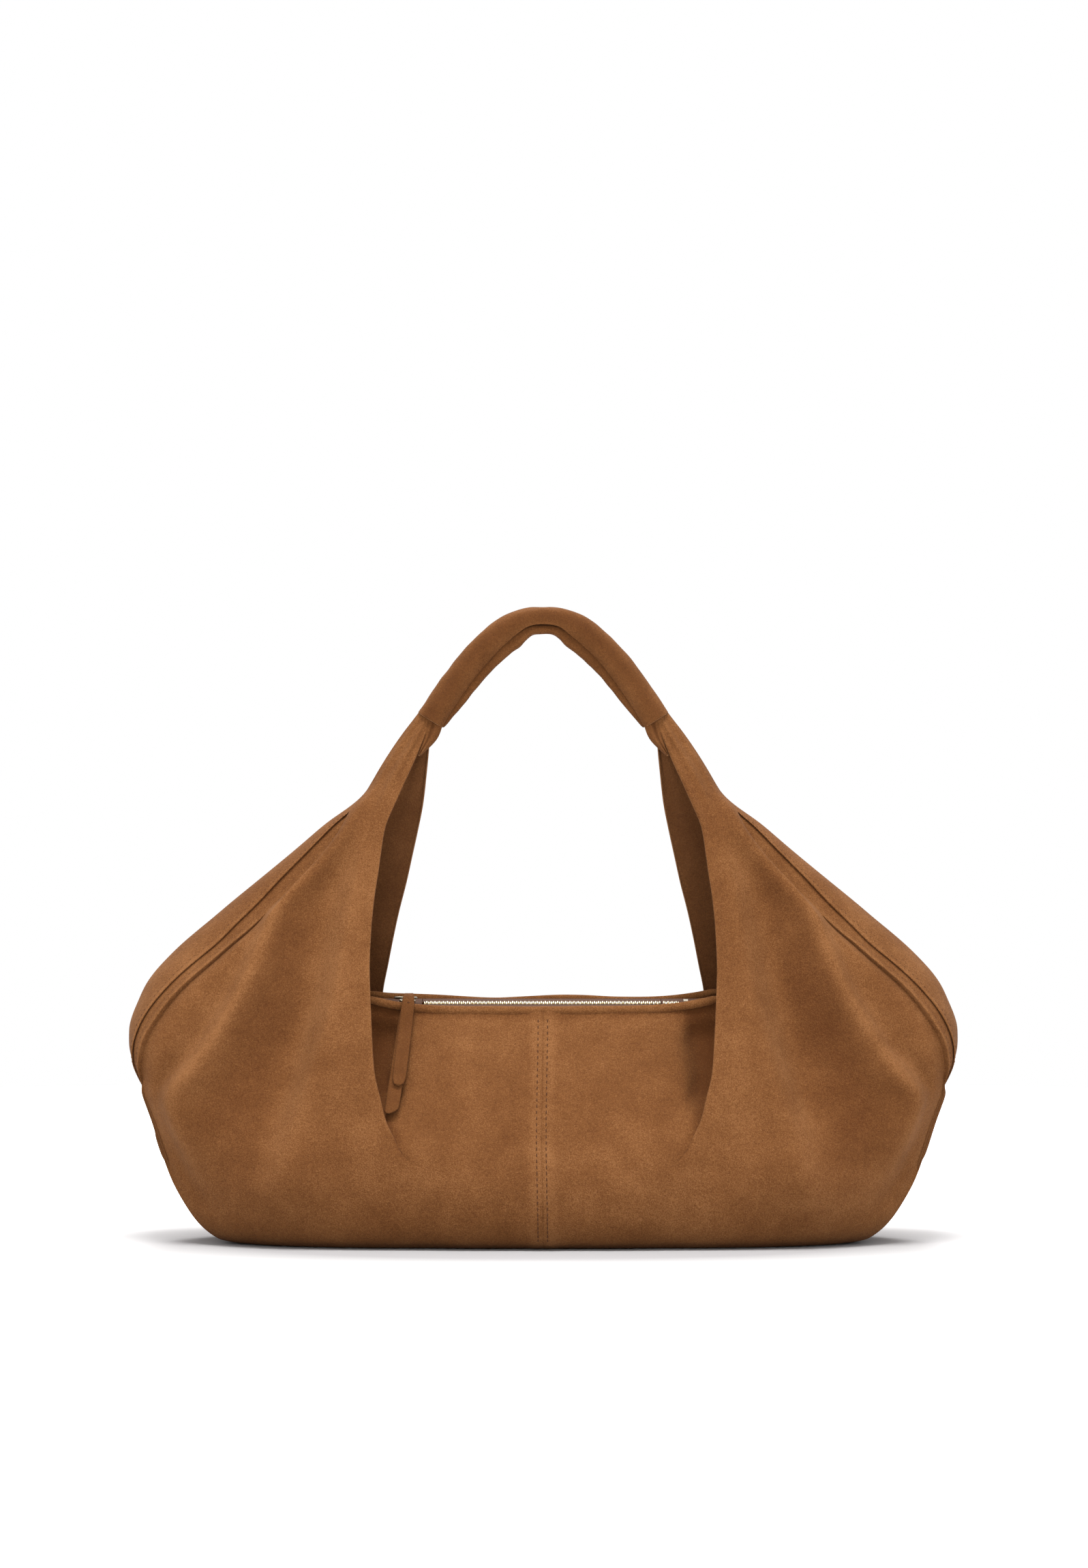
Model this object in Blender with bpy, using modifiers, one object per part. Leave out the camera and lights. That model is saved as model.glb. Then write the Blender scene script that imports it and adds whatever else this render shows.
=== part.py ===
"""A suede hobo bag that stands on its base, with its arched handle up and its zip closed.

Frame: +Z up, +X to the wearer's right along the zip, -Y the front. The origin is the middle of the
flat base, on the surface that the bag stands on. Lengths are in metres.

The outer shell is four suede panels, front and back, left and right. Each rises at its outer end into
a horn, and the four horns gather in pairs at the two ends of a padded handle. A gusset strip, edged by
a sewn band on each side, closes the outer edge of each pair of horns from the handle to the base.
"""

import math

import bmesh
import bpy
from mathutils import Matrix, Vector

MM = 0.001

# Leather and cloth
LEATHER = 2.0 * MM
CLOTH = 1.0 * MM
SEAM_GAP = 0.4 * MM
BAND_GAP = 0.8 * MM
PANEL_EDGE_GAP = 2.7 * MM
BASE_THICKNESS = 2.0 * MM
BOARD_THICKNESS = 1.5 * MM

# Heights of the rows of points on the shell, from the base edge to the tips of the horns
BASE_EDGE = 2.6 * MM
CENTRE_TOP = 132.5 * MM
BODY_ROWS = [h * MM for h in (2.6, 5, 10, 19, 34, 51, 70, 91, 112, 132.5)]
HORN_ROWS = [h * MM for h in (154, 176, 198, 220, 242, 262, 280, 295)]
BACK_LIFT = 4.8 * MM  # the zip slopes forward, so the back panel's top edge is this much higher

# Zip, in its own frame: along X, across from front to back, and up out of the tape
ZIP_Z = 139 * MM
ZIP_TILT = math.radians(9)
ZIP_REACH = 117 * MM
TOOTH_PITCH = 2.4 * MM
TOOTH_TIP = 0.45 * MM
TOOTH_ROOT = 2.9 * MM
TOOTH_HEIGHT = 2.2 * MM
TAPE_THICKNESS = 0.7 * MM
TAPE_INNER = 3.2 * MM
TAPE_OUTER = 12.8 * MM
LIP_LEFT = -71 * MM
LIP_RIGHT = 69 * MM
BAND_ACROSS = 16 * MM
BAND_RADIUS = 2.3 * MM
BAND_REACH = 104 * MM

# Zip slider, its ring and the leather pull
SLIDER_X = -79 * MM
SLIDER_END = 77 * MM  # where the slider stops when the zip is fully open
SLIDER_LENGTH = 9.6 * MM
SLIDER_WIDTH = 8.0 * MM
PLATE_THICKNESS = 1.2 * MM
PLATE_LIFT = 1.5 * MM
BAIL_WIDTH = 6.8 * MM
BAIL_WIRE = 0.65 * MM
RING_LIFT = 3.9 * MM
RING_RADIUS = 6.5 * MM
RING_WIRE = 0.6 * MM
PULL_WIDTH = 7.4 * MM
PULL_NECK = 5.6 * MM
PULL_LEATHER = 1.3 * MM
PULL_LEAN = math.radians(5.6)

# Handle
HANDLE_END = Vector((66.4 * MM, 0, 306 * MM))
SLEEVE_RADIUS = 8.6 * MM
SLEEVE_LEATHER = 1.6 * MM
CORE_RADIUS = 6.3 * MM
SLOT_HALF_ANGLE = math.radians(27)
UNDERLAY_HALF_WIDTH = 2.5 * MM
UNDERLAY_DEPTH = (7.0 * MM, 12.0 * MM)
ANCHOR_RADIUS = 6.5 * MM

SUEDE = (0.36, 0.17, 0.065, 1)
SUEDE_DARK = (0.24, 0.11, 0.042, 1)
CLOTH_TAN = (0.42, 0.27, 0.15, 1)
BRASS = (0.72, 0.60, 0.36, 1)
BRASS_DARK = (0.30, 0.23, 0.12, 1)
CORE_WHITE = (0.75, 0.72, 0.66, 1)
BOARD_GREY = (0.35, 0.31, 0.27, 1)


def curve_through(*knots):
    """A smooth function through (height, value) pairs in millimetres that never overshoots them."""
    xs = [k[0] * MM for k in knots]
    ys = [k[1] * MM for k in knots]
    slopes = [(b - a) / (q - p) for a, b, p, q in zip(ys, ys[1:], xs, xs[1:])]
    tangents = [slopes[0]]
    for before, after in zip(slopes, slopes[1:]):
        tangents.append(0 if before * after <= 0 else 2 * before * after / (before + after))
    tangents.append(slopes[-1])

    def value(x):
        x = min(max(x, xs[0]), xs[-1])
        i = max(j for j in range(len(xs) - 1) if xs[j] <= x)
        span = xs[i + 1] - xs[i]
        t = (x - xs[i]) / span
        return (
            (2 * t**3 - 3 * t**2 + 1) * ys[i]
            + (t**3 - 2 * t**2 + t) * span * tangents[i]
            + (3 * t**2 - 2 * t**3) * ys[i + 1]
            + (t**3 - t**2) * span * tangents[i + 1]
        )

    return value


# Profiles by height. Depths are distances in front of the middle plane, and the back mirrors them.
centre_depth = curve_through(
    (2.6, 54), (5, 59.5), (9.9, 64), (19.2, 67.5), (31.8, 68.5), (50.1, 65), (72, 56), (94, 44), (114, 31), (132.5, 18)
)
fold_depth = curve_through(
    (2.6, 51), (5, 56), (9.9, 61), (19.2, 64), (31.8, 65.5), (50.1, 64), (72, 61), (94, 57), (114, 53), (138, 48),
    (176, 40), (216, 31), (256, 21), (295, 10.5)
)
fold_reach = curve_through(
    (2.6, 70), (28.2, 76), (49.2, 81), (62, 87), (75, 92), (96, 97.5), (116, 100), (142, 100), (169, 100), (196, 98.5),
    (218, 96), (244, 90), (262, 83.5), (282, 74), (295, 68)
)
back_fold_reach = curve_through(
    (2.6, 70), (28.2, 76), (49.2, 81), (62, 87), (75, 91), (96, 95), (116, 95.5), (146, 95), (166, 90), (190, 85.5),
    (222, 78), (238, 74), (254, 71), (270, 69), (295, 66)
)
seam_reach = curve_through(
    (2.6, 181), (7.9, 192), (19.2, 204), (37.2, 215), (61, 225), (86, 232), (104, 235), (121, 233), (130, 228.5),
    (141, 220), (153, 208), (173, 184.5), (195, 160), (216, 138.5), (241, 116), (256, 103.5), (281, 86), (295, 77)
)
seam_depth = curve_through(
    (2.6, 14), (7.9, 17), (19.2, 20), (37.2, 23), (61, 26), (86, 29), (106, 31), (130, 32.5), (153, 32), (173, 30),
    (195, 27), (221, 22.5), (246, 17.5), (271, 12.5), (295, 8.5)
)
outline_reach = curve_through(
    (2.6, 184), (9.9, 197), (17.4, 204), (31.8, 214), (39, 218), (62, 226.5), (78, 232), (94, 236.8), (106, 241),
    (118, 244), (126, 243.5), (134, 241.5), (142, 238), (150, 234), (166, 222), (182, 205), (198, 186),
    (214, 166), (230, 146.5), (246, 128), (262, 110.5), (278, 97.5), (295, 86)
)
lining_length = curve_through((5.2, 166), (11.8, 182), (28.2, 199), (56, 211), (86, 215), (111, 214), (130, 212))
lining_depth = curve_through((5.2, 45), (11.8, 56), (28.2, 60), (56, 55), (86, 42), (111, 26.5), (130, 13.5))


def clear_scene():
    for obj in list(bpy.data.objects):
        bpy.data.objects.remove(obj)


def new_collection(name):
    collection = bpy.data.collections.new(name)
    bpy.context.scene.collection.children.link(collection)
    return collection


def material(name, colour, roughness, metallic=0.0):
    made = bpy.data.materials.new(name)
    made.use_nodes = True
    shader = made.node_tree.nodes["Principled BSDF"]
    shader.inputs["Base Color"].default_value = colour
    shader.inputs["Roughness"].default_value = roughness
    shader.inputs["Metallic"].default_value = metallic
    return made


def smoothstep(low, high, value):
    t = min(max((value - low) / (high - low), 0), 1)
    return t * t * (3 - 2 * t)


def add_object(name, data, finish):
    obj = bpy.data.objects.new(name, data)
    bag.objects.link(obj)
    data.materials.append(finish)
    return obj


def grid_faces(mesh, rows, around=False):
    """Adds a grid of points, and the quads between them, to an open mesh."""
    placed = [[mesh.verts.new(point) for point in row] for row in rows]
    for lower, upper in zip(placed, placed[1:]):
        ends = list(zip(lower, lower[1:], upper[1:], upper))
        if around:
            ends.append((lower[-1], lower[0], upper[0], upper[-1]))
        for corners in ends:
            mesh.faces.new(corners)
    return placed


def finish_mesh(name, mesh, finish):
    data = bpy.data.meshes.new(name)
    mesh.to_mesh(data)
    mesh.free()
    return add_object(name, data, finish)


def thicken(obj, thickness):
    """Solidify inwards, away from the side that the normals face."""
    modifier = obj.modifiers.new("thickness", "SOLIDIFY")
    modifier.thickness = thickness
    modifier.offset = -1
    modifier.use_even_offset = False
    return obj


def sheet(name, grids, thickness, finish, outward, around=False):
    """A shell from one or more grids that share an edge. outward is a point on the side that it faces."""
    mesh = bmesh.new()
    for rows in grids:
        grid_faces(mesh, rows, around)
    bmesh.ops.remove_doubles(mesh, verts=mesh.verts, dist=1e-6)
    bmesh.ops.recalc_face_normals(mesh, faces=mesh.faces)
    mesh.faces.ensure_lookup_table()
    first = mesh.faces[0]
    if first.normal.dot(outward - first.calc_center_median()) < 0:
        bmesh.ops.reverse_faces(mesh, faces=mesh.faces)
    return thicken(finish_mesh(name, mesh, finish), thickness)


# Shell

def shell_point(x, depth, z, left, back):
    return Vector((-x if left else x, depth if back else -depth, z))


def centre_surface(x, z, back=False):
    """How far the panel lies from the middle plane between its centre seam and the fold."""
    reach = (back_fold_reach if back else fold_reach)(z)
    step = smoothstep(50 * MM, 92 * MM, z)
    plain = centre_depth(z) + (fold_depth(z) - centre_depth(z)) * (x / reach) ** 2
    recessed = centre_depth(z) - 1.5 * MM * (x / reach) ** 2
    return plain + (recessed - plain) * step


def centre_row(z, left, back):
    """One row of the panel from the centre seam to the fold, where the horn stands forward of it."""
    reach = (back_fold_reach if back else fold_reach)(z)
    lift = BACK_LIFT * smoothstep(60 * MM, CENTRE_TOP, z) if back else 0
    row = []
    for share in (0, 0.36, 0.7, 0.97):
        x = SEAM_GAP / 2 + share * (reach - SEAM_GAP)
        rise = lift * (1 - (share / 0.97) ** 4)
        row.append(shell_point(x, centre_surface(x, z, back), z + rise, left, back))
    row.append(shell_point(reach, fold_depth(z), z, left, back))
    return row


def side_row(z, left, back):
    """One row from the fold to the band that edges the gusset."""
    near = (back_fold_reach if back else fold_reach)(z)
    far = seam_reach(z) - PANEL_EDGE_GAP
    row = []
    for share in (0, 0.16, 0.36, 0.58, 0.8, 1):
        x = near + share * (far - near)
        depth = seam_depth(z) + (fold_depth(z) - seam_depth(z)) * (1 - share**2.3)
        row.append(shell_point(x, depth, z, left, back))
    return row


def panel(name, left, back):
    centre = [centre_row(z, left, back) for z in BODY_ROWS]
    side = [side_row(z, left, back) for z in BODY_ROWS + HORN_ROWS]
    return sheet(name, [centre, side], LEATHER, suede, Vector((0, 1 if back else -1, 0.1)))


def wrap_point(z, across, left):
    """A point of the gusset and its bands. across runs from -1 at the front seam to 1 at the back one."""
    depth = seam_depth(z) * across
    bulge = 1 - abs(across) ** 2.2
    x = seam_reach(z) + (outline_reach(z) - seam_reach(z)) * bulge
    return Vector((-x if left else x, depth, z))


def wrap_strip(name, left, low, high, columns):
    rows = []
    for z in BODY_ROWS + HORN_ROWS:
        inset = BAND_GAP / 2 / seam_depth(z)
        edges = (low + inset, high - inset)
        shares = [edges[0] + (edges[1] - edges[0]) * i / columns for i in range(columns + 1)]
        rows.append([wrap_point(z, share, left) for share in shares])
    return sheet(name, [rows], LEATHER, suede, Vector((-1 if left else 1, 0, 0.3)))


def bottom_outline():
    """The edge of the base, once round, through the lowest row of every panel and gusset."""
    quarter = [centre_row(BASE_EDGE, False, False)[i] for i in (0, 2, 4)]
    quarter += side_row(BASE_EDGE, False, False)[2:]
    quarter += [Vector((outline_reach(BASE_EDGE), 0, 0))]
    right = quarter[1:] + [Vector((p.x, -p.y, 0)) for p in reversed(quarter[1:-1])]
    return [Vector((0, -centre_depth(BASE_EDGE), 0))] + right + [
        Vector((0, centre_depth(BASE_EDGE), 0))] + [Vector((-p.x, -p.y, 0)) for p in right]


def plate(name, outline, bottom, thickness, finish):
    """A flat plate from an outline in the XY plane."""
    mesh = bmesh.new()
    mesh.faces.new([mesh.verts.new((p[0], p[1], bottom + thickness)) for p in outline])
    mesh.normal_update()
    if next(iter(mesh.faces)).normal.z < 0:
        bmesh.ops.reverse_faces(mesh, faces=mesh.faces)
    return thicken(finish_mesh(name, mesh, finish), thickness)


def make_shell():
    for side, left in (("left", True), ("right", False)):
        panel(f"front_panel_{side}", left, False)
        panel(f"back_panel_{side}", left, True)
        wrap_strip(f"gusset_band_front_{side}", left, -1, -0.8, 1)
        wrap_strip(f"side_gusset_{side}", left, -0.8, 0.8, 4)
        wrap_strip(f"gusset_band_back_{side}", left, 0.8, 1, 1)
    outline = bottom_outline()
    plate("base_panel", outline, 0, BASE_THICKNESS, suede)
    board_scale = 0.87
    board = [(p.x * board_scale, p.y * board_scale) for p in outline]
    plate("base_board", board, BASE_THICKNESS + SEAM_GAP, BOARD_THICKNESS, board_grey)


# Lining

def lining_point(z, angle, inset=0.0):
    """A point of the lining's wall: a round-ended oval at each height, front at -90 degrees."""
    length, depth = lining_length(z) - inset, lining_depth(z) - inset
    return Vector((length * math.cos(angle), depth * math.sin(angle), z))


def make_lining():
    heights = [h * MM for h in (5.2, 12, 26, 49, 76, 104, 130)]
    around = 32
    mesh = bmesh.new()
    rows = [[lining_point(z, 2 * math.pi * i / around) for i in range(around)] for z in heights]
    placed = grid_faces(mesh, rows, around=True)
    mesh.faces.new(list(reversed(placed[0])))
    bmesh.ops.recalc_face_normals(mesh, faces=mesh.faces)
    mesh.faces.ensure_lookup_table()
    if mesh.faces[0].normal.dot(mesh.faces[0].calc_center_median()) < 0:
        bmesh.ops.reverse_faces(mesh, faces=mesh.faces)
    thicken(finish_mesh("lining_pouch", mesh, cloth), CLOTH)

    inset = CLOTH + 1.6 * MM
    angles = [math.radians(90 + a) for a in (-22.5, -11.25, 0, 11.25, 22.5)]
    pocket = [[lining_point(h * MM, a, inset) for a in angles] for h in (34, 49, 76, 100)]
    sheet("inner_pocket", [pocket], CLOTH, cloth, Vector((0, 1, 0.1)))

    quarter = [(119, 0), (119, 13), (113, 37), (150, 41), (188, 34), (214, 21), (226, 0)]
    for side, sign in (("left", -1), ("right", 1)):
        outline = [(sign * x * MM, y * MM) for x, y in quarter]
        outline += [(sign * x * MM, -y * MM) for x, y in reversed(quarter[1:-1])]
        plate(f"wing_floor_{side}", outline, 135.4 * MM, CLOTH, cloth)


# Zip

ZIP_FRAME = Matrix.Translation((0, 0, ZIP_Z)) @ Matrix.Rotation(ZIP_TILT, 4, "X")


def zip_box(name, low, high, finish):
    """A box in the zip's frame between two corners."""
    low, high = Vector(low), Vector(high)
    bpy.ops.mesh.primitive_cube_add(size=1)
    obj = bpy.context.object
    obj.name = obj.data.name = name
    for collection in list(obj.users_collection):
        collection.objects.unlink(obj)
    bag.objects.link(obj)
    size = high - low
    obj.data.transform(Matrix.Translation((low + high) / 2) @ Matrix.Diagonal((*size, 1)))
    obj.data.materials.append(finish)
    obj.matrix_world = ZIP_FRAME
    return obj


def zip_outline(name, outline, thickness, finish):
    """A flat piece in the zip's frame, half its thickness each side of the tape's plane."""
    mesh = bmesh.new()
    mesh.faces.new([mesh.verts.new((x, y, thickness / 2)) for x, y in outline])
    mesh.normal_update()
    if next(iter(mesh.faces)).normal.z < 0:
        bmesh.ops.reverse_faces(mesh, faces=mesh.faces)
    obj = thicken(finish_mesh(name, mesh, finish), thickness)
    obj.matrix_world = ZIP_FRAME
    return obj


def tooth_row(sign):
    """The outline of one row of teeth: a bead along the tape's edge, with a tooth at every pitch."""
    bead = TOOTH_ROOT - 0.8 * MM
    count = int((LIP_RIGHT - LIP_LEFT) / TOOTH_PITCH)
    start = LIP_LEFT + ((LIP_RIGHT - LIP_LEFT) - count * TOOTH_PITCH) / 2
    half_root, half_tip = 0.75 * MM, 0.5 * MM
    outline = [(LIP_LEFT, sign * TOOTH_ROOT), (LIP_LEFT, sign * bead)]
    for i in range(count):
        x = start + (i + 0.5) * TOOTH_PITCH
        outline += [
            (x - half_root, sign * bead),
            (x - half_tip, sign * TOOTH_TIP),
            (x + half_tip, sign * TOOTH_TIP),
            (x + half_root, sign * bead),
        ]
    return outline + [(LIP_RIGHT, sign * bead), (LIP_RIGHT, sign * TOOTH_ROOT)]


def zip_end(name, near, far):
    """The fixed end of the tape, with the slot that the slider's post runs in."""
    slot_end = near + (far - near) * 0.42
    half = TOOTH_TIP
    outline = [
        (near, -TAPE_OUTER), (far, -TAPE_OUTER), (far, TAPE_OUTER), (near, TAPE_OUTER),
        (near, half), (slot_end, half), (slot_end, -half), (near, -half),
    ]
    zip_outline(name, outline, TAPE_THICKNESS, cloth)


def rolled_edge(name, sign):
    """The turned suede edge along one side of the zip, drooping a little in the middle."""
    points = []
    for i in range(-9, 10):
        x = BAND_REACH * i / 9
        rise = 5.0 * MM * (x / BAND_REACH) ** 6 if sign < 0 else 0.5 * MM * (x / BAND_REACH) ** 2
        place = ZIP_FRAME @ Vector((x, sign * BAND_ACROSS, 0))
        points.append(place + Vector((0, 0, rise)))
    tube(name, points, BAND_RADIUS, suede, 2)


def tube(name, points, radius, finish, resolution=2, radii=None):
    """A round tube along points, with filled caps."""
    data = bpy.data.curves.new(name, "CURVE")
    data.dimensions = "3D"
    data.bevel_depth = radius
    data.bevel_resolution = resolution
    data.use_fill_caps = True
    spline = data.splines.new("POLY")
    spline.points.add(len(points) - 1)
    for i, (target, point) in enumerate(zip(spline.points, points)):
        target.co = (*point, 1)
        target.radius = radii[i] / radius if radii else 1
    return add_object(name, data, finish)


def mesh_of_curve(obj):
    """Turns a curve object into a mesh object of the same name, with its caps welded."""
    graph = bpy.context.evaluated_depsgraph_get()
    data = bpy.data.meshes.new_from_object(obj.evaluated_get(graph))
    name, place = obj.name, obj.matrix_world.copy()
    bpy.data.objects.remove(obj)
    mesh = bmesh.new()
    mesh.from_mesh(data)
    bmesh.ops.remove_doubles(mesh, verts=mesh.verts, dist=1e-6)
    mesh.to_mesh(data)
    mesh.free()
    made = bpy.data.objects.new(name, data)
    made.matrix_world = place
    bag.objects.link(made)
    return made


def join_by_union(target, others):
    for other in others:
        modifier = target.modifiers.new("join", "BOOLEAN")
        modifier.operation = "UNION"
        modifier.object = other
        for collection in list(other.users_collection):
            collection.objects.unlink(other)
        cutters.objects.link(other)
        other.hide_render = True
        other.display_type = "WIRE"


def make_slider():
    """Two plates joined by a post between the rows of teeth, with the bail's arch on top."""
    half_length, half_width = SLIDER_LENGTH / 2, SLIDER_WIDTH / 2
    top = PLATE_LIFT + PLATE_THICKNESS
    body = zip_box(
        "zip_slider",
        (SLIDER_X - half_length, -half_width, PLATE_LIFT),
        (SLIDER_X + half_length, half_width, top),
        brass_dark,
    )
    lower = zip_box(
        "slider_lower",
        (SLIDER_X - half_length, -half_width, -top),
        (SLIDER_X + half_length, half_width, -PLATE_LIFT),
        brass_dark,
    )
    post = zip_box(
        "slider_post",
        (SLIDER_X - half_length + 1 * MM, -0.25 * MM, -PLATE_LIFT - 0.4 * MM),
        (SLIDER_X - half_length + 3.5 * MM, 0.25 * MM, PLATE_LIFT + 0.4 * MM),
        brass_dark,
    )
    foot, arch_height = BAIL_WIDTH / 2, 2.75 * MM
    arch = [Vector((SLIDER_X, -foot, top - 0.5 * MM))]
    for i in range(7):
        angle = math.pi * (1 - i / 6)
        reach = foot * math.copysign(abs(math.cos(angle)) ** 0.7, math.cos(angle))
        arch.append(Vector((SLIDER_X, reach, top + 0.2 * MM + arch_height * math.sin(angle) ** 0.8)))
    arch.append(Vector((SLIDER_X, foot, top - 0.5 * MM)))
    bail = tube("slider_bail", arch, BAIL_WIRE, brass_dark)
    bail.matrix_world = ZIP_FRAME
    bpy.context.view_layer.update()
    join_by_union(body, [lower, post, mesh_of_curve(bail)])


def make_zip():
    for side, sign in (("front", -1), ("back", 1)):
        low, high = sorted((sign * TAPE_INNER, sign * TAPE_OUTER))
        thick = TAPE_THICKNESS / 2
        zip_box(f"zip_tape_{side}", (LIP_LEFT, low, -thick), (LIP_RIGHT, high, thick), cloth)
        zip_outline(f"zip_teeth_{side}", tooth_row(sign), TOOTH_HEIGHT, brass)
        rolled_edge(f"zip_edge_{side}", sign)
    zip_end("zip_end_left", LIP_LEFT - SEAM_GAP, -ZIP_REACH)
    zip_end("zip_end_right", LIP_RIGHT + SEAM_GAP, ZIP_REACH)
    stop_low, stop_high = TAPE_THICKNESS / 2 + 0.3 * MM, 2.2 * MM
    stop_half, stop_length = 2.6 * MM, 2.6 * MM
    left_stop = SLIDER_X - SLIDER_LENGTH / 2 - 0.5 * MM
    zip_box("zip_top_stop", (left_stop - stop_length, -stop_half, stop_low), (left_stop, stop_half, stop_high), brass)
    right_stop = SLIDER_END + SLIDER_LENGTH / 2 + 0.5 * MM
    zip_box(
        "zip_bottom_stop", (right_stop, -stop_half, stop_low), (right_stop + stop_length, stop_half, stop_high), brass
    )
    make_slider()


# Pull

def make_pull():
    """The ring through the bail, lying forward over the rolled edge, and the folded strap on its front."""
    pivot = ZIP_FRAME @ Vector((SLIDER_X, 0, RING_LIFT))
    bpy.ops.mesh.primitive_torus_add(
        major_radius=RING_RADIUS, minor_radius=RING_WIRE, major_segments=28, minor_segments=8
    )
    ring = bpy.context.object
    ring.name = ring.data.name = "pull_ring"
    for collection in list(ring.users_collection):
        collection.objects.unlink(ring)
    bag.objects.link(ring)
    ring.data.materials.append(brass_dark)
    ring.data.transform(Matrix.Translation((0, -RING_RADIUS, 0)))
    ring.location = pivot

    eye = pivot - Vector((0, 2 * RING_RADIUS, 0))
    rows = []
    for y, z, half in pull_path(eye):
        middle = eye.x - max(eye.z - z, 0) * math.tan(PULL_LEAN)
        rows.append([Vector((middle - half, y, z)), Vector((middle + half, y, z))])
    strap = sheet("pull_tab", [rows], PULL_LEATHER, suede, Vector((eye.x, -1, 0.4)))
    strap.modifiers["thickness"].use_even_offset = True
    strap.modifiers["thickness"].offset = 0


def pull_path(eye):
    """The folded strap's middle line: up its hidden leaf, round the ring and down its front leaf.

    Each point is (y, z, half the strap's width), because the strap is narrower where it rounds the ring."""
    half, neck = PULL_WIDTH / 2, PULL_NECK / 2
    wrap = RING_WIRE + 0.9 * MM + PULL_LEATHER / 2
    stretch = 0.8 * MM
    leaf_gap = 0.5 * MM + PULL_LEATHER
    hidden = []
    for height in (78, 87, 97, 109, 121, 132):
        z = height * MM
        middle = -eye.x + (eye.z - z) * math.tan(PULL_LEAN)
        depth = max(centre_surface(middle + half, z), centre_surface(middle - half, z))
        hidden.append((-depth - PULL_LEATHER / 2 - 2.3 * MM, z, half))
    path = hidden + [(-21.2 * MM, 138.8 * MM, half), (-18.4 * MM, 141.3 * MM, neck)]
    for degrees in (-100, -50, 0, 50, 100):
        angle = math.radians(degrees)
        reach = (wrap + stretch) if abs(degrees) < 90 else wrap
        path.append((eye.y + reach * math.cos(angle), eye.z + wrap * math.sin(angle), neck))
    path += [(-19 * MM, 144.5 * MM, neck), (-23.2 * MM, 141 * MM, half)]
    return path + [(y - leaf_gap, z, half) for y, z, _ in reversed(hidden) if z > 95 * MM]


# Handle

def handle_line():
    """The middle line of the padded handle, from its left end over the top to its right end."""
    half = [(66.4, 306), (59.5, 316.3), (51.5, 328), (43, 339.6), (34, 350.5), (24.5, 359.6), (13, 364.6), (0, 365.6)]
    right = [Vector((x * MM, 0, z * MM)) for x, z in half]
    return [Vector((-p.x, 0, p.z)) for p in right] + list(reversed(right[:-1]))


def handle_frames():
    """Each point of the handle's line, with the direction that faces away from the arm."""
    line = handle_line()
    frames = []
    for i, point in enumerate(line):
        before, after = line[max(i - 1, 0)], line[min(i + 1, len(line) - 1)]
        along = (after - before).normalized()
        frames.append((point, Vector((-along.z, 0, along.x))))
    return frames


def make_handle():
    rows = []
    turns = 10
    for point, away in handle_frames():
        row = []
        for i in range(turns + 1):
            angle = -math.pi + SLOT_HALF_ANGLE + (2 * math.pi - 2 * SLOT_HALF_ANGLE) * i / turns
            row.append(point + SLEEVE_RADIUS * (away * math.cos(angle) + Vector((0, math.sin(angle), 0))))
        rows.append(row)
    sheet("handle_sleeve", [rows], SLEEVE_LEATHER, suede, Vector((-0.3, 0, 0.5)))

    line = handle_line()
    start = line[0] + (line[1] - line[0]).normalized() * (ANCHOR_RADIUS + 0.6 * MM)
    core = [start] + line[1:-1] + [Vector((-start.x, 0, start.z))]
    tube("handle_core", core, CORE_RADIUS, core_white)

    near, far = UNDERLAY_DEPTH
    strip = []
    for point, away in handle_frames():
        strip.append([point - away * near, point - away * far])
    underlay = sheet("handle_underlay", [strip], 2 * UNDERLAY_HALF_WIDTH, suede_dark, Vector((0, -1, 0.3)))
    underlay.modifiers["thickness"].offset = 0

    neck = Vector((0.43, 0, -0.90))
    profile = ((-6.4, 0.9), (-5.2, 3.8), (-2.9, 5.8), (0, 6.5), (2.9, 5.7), (5.6, 4.6), (16, 4.0))
    for side, sign in (("left", -1), ("right", 1)):
        end = Vector((sign * HANDLE_END.x, 0, HANDLE_END.z))
        direction = Vector((sign * neck.x, 0, neck.z)).normalized()
        points = [end + direction * step * MM for step, _ in profile]
        radii = [radius * MM for _, radius in profile]
        tube(f"handle_anchor_{side}", points, ANCHOR_RADIUS, suede_dark, 2, radii)


clear_scene()
bag = new_collection("hobo_bag")
cutters = new_collection("cutters")
suede = material("suede", SUEDE, 0.95)
suede_dark = material("suede_inside", SUEDE_DARK, 0.95)
cloth = material("cotton_cloth", CLOTH_TAN, 0.9)
brass = material("light_brass", BRASS, 0.3, 1.0)
brass_dark = material("antique_brass", BRASS_DARK, 0.35, 1.0)
core_white = material("foam_core", CORE_WHITE, 0.9)
board_grey = material("fibre_board", BOARD_GREY, 0.8)
make_shell()
make_lining()
make_zip()
make_pull()
make_handle()
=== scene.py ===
"""The look of the suede hobo bag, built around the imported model.

+X runs along the zip, -Y is the front and +Z is up. Lengths are in metres."""

import math

import bmesh
import bpy
from mathutils import Matrix, Vector, noise


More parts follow.
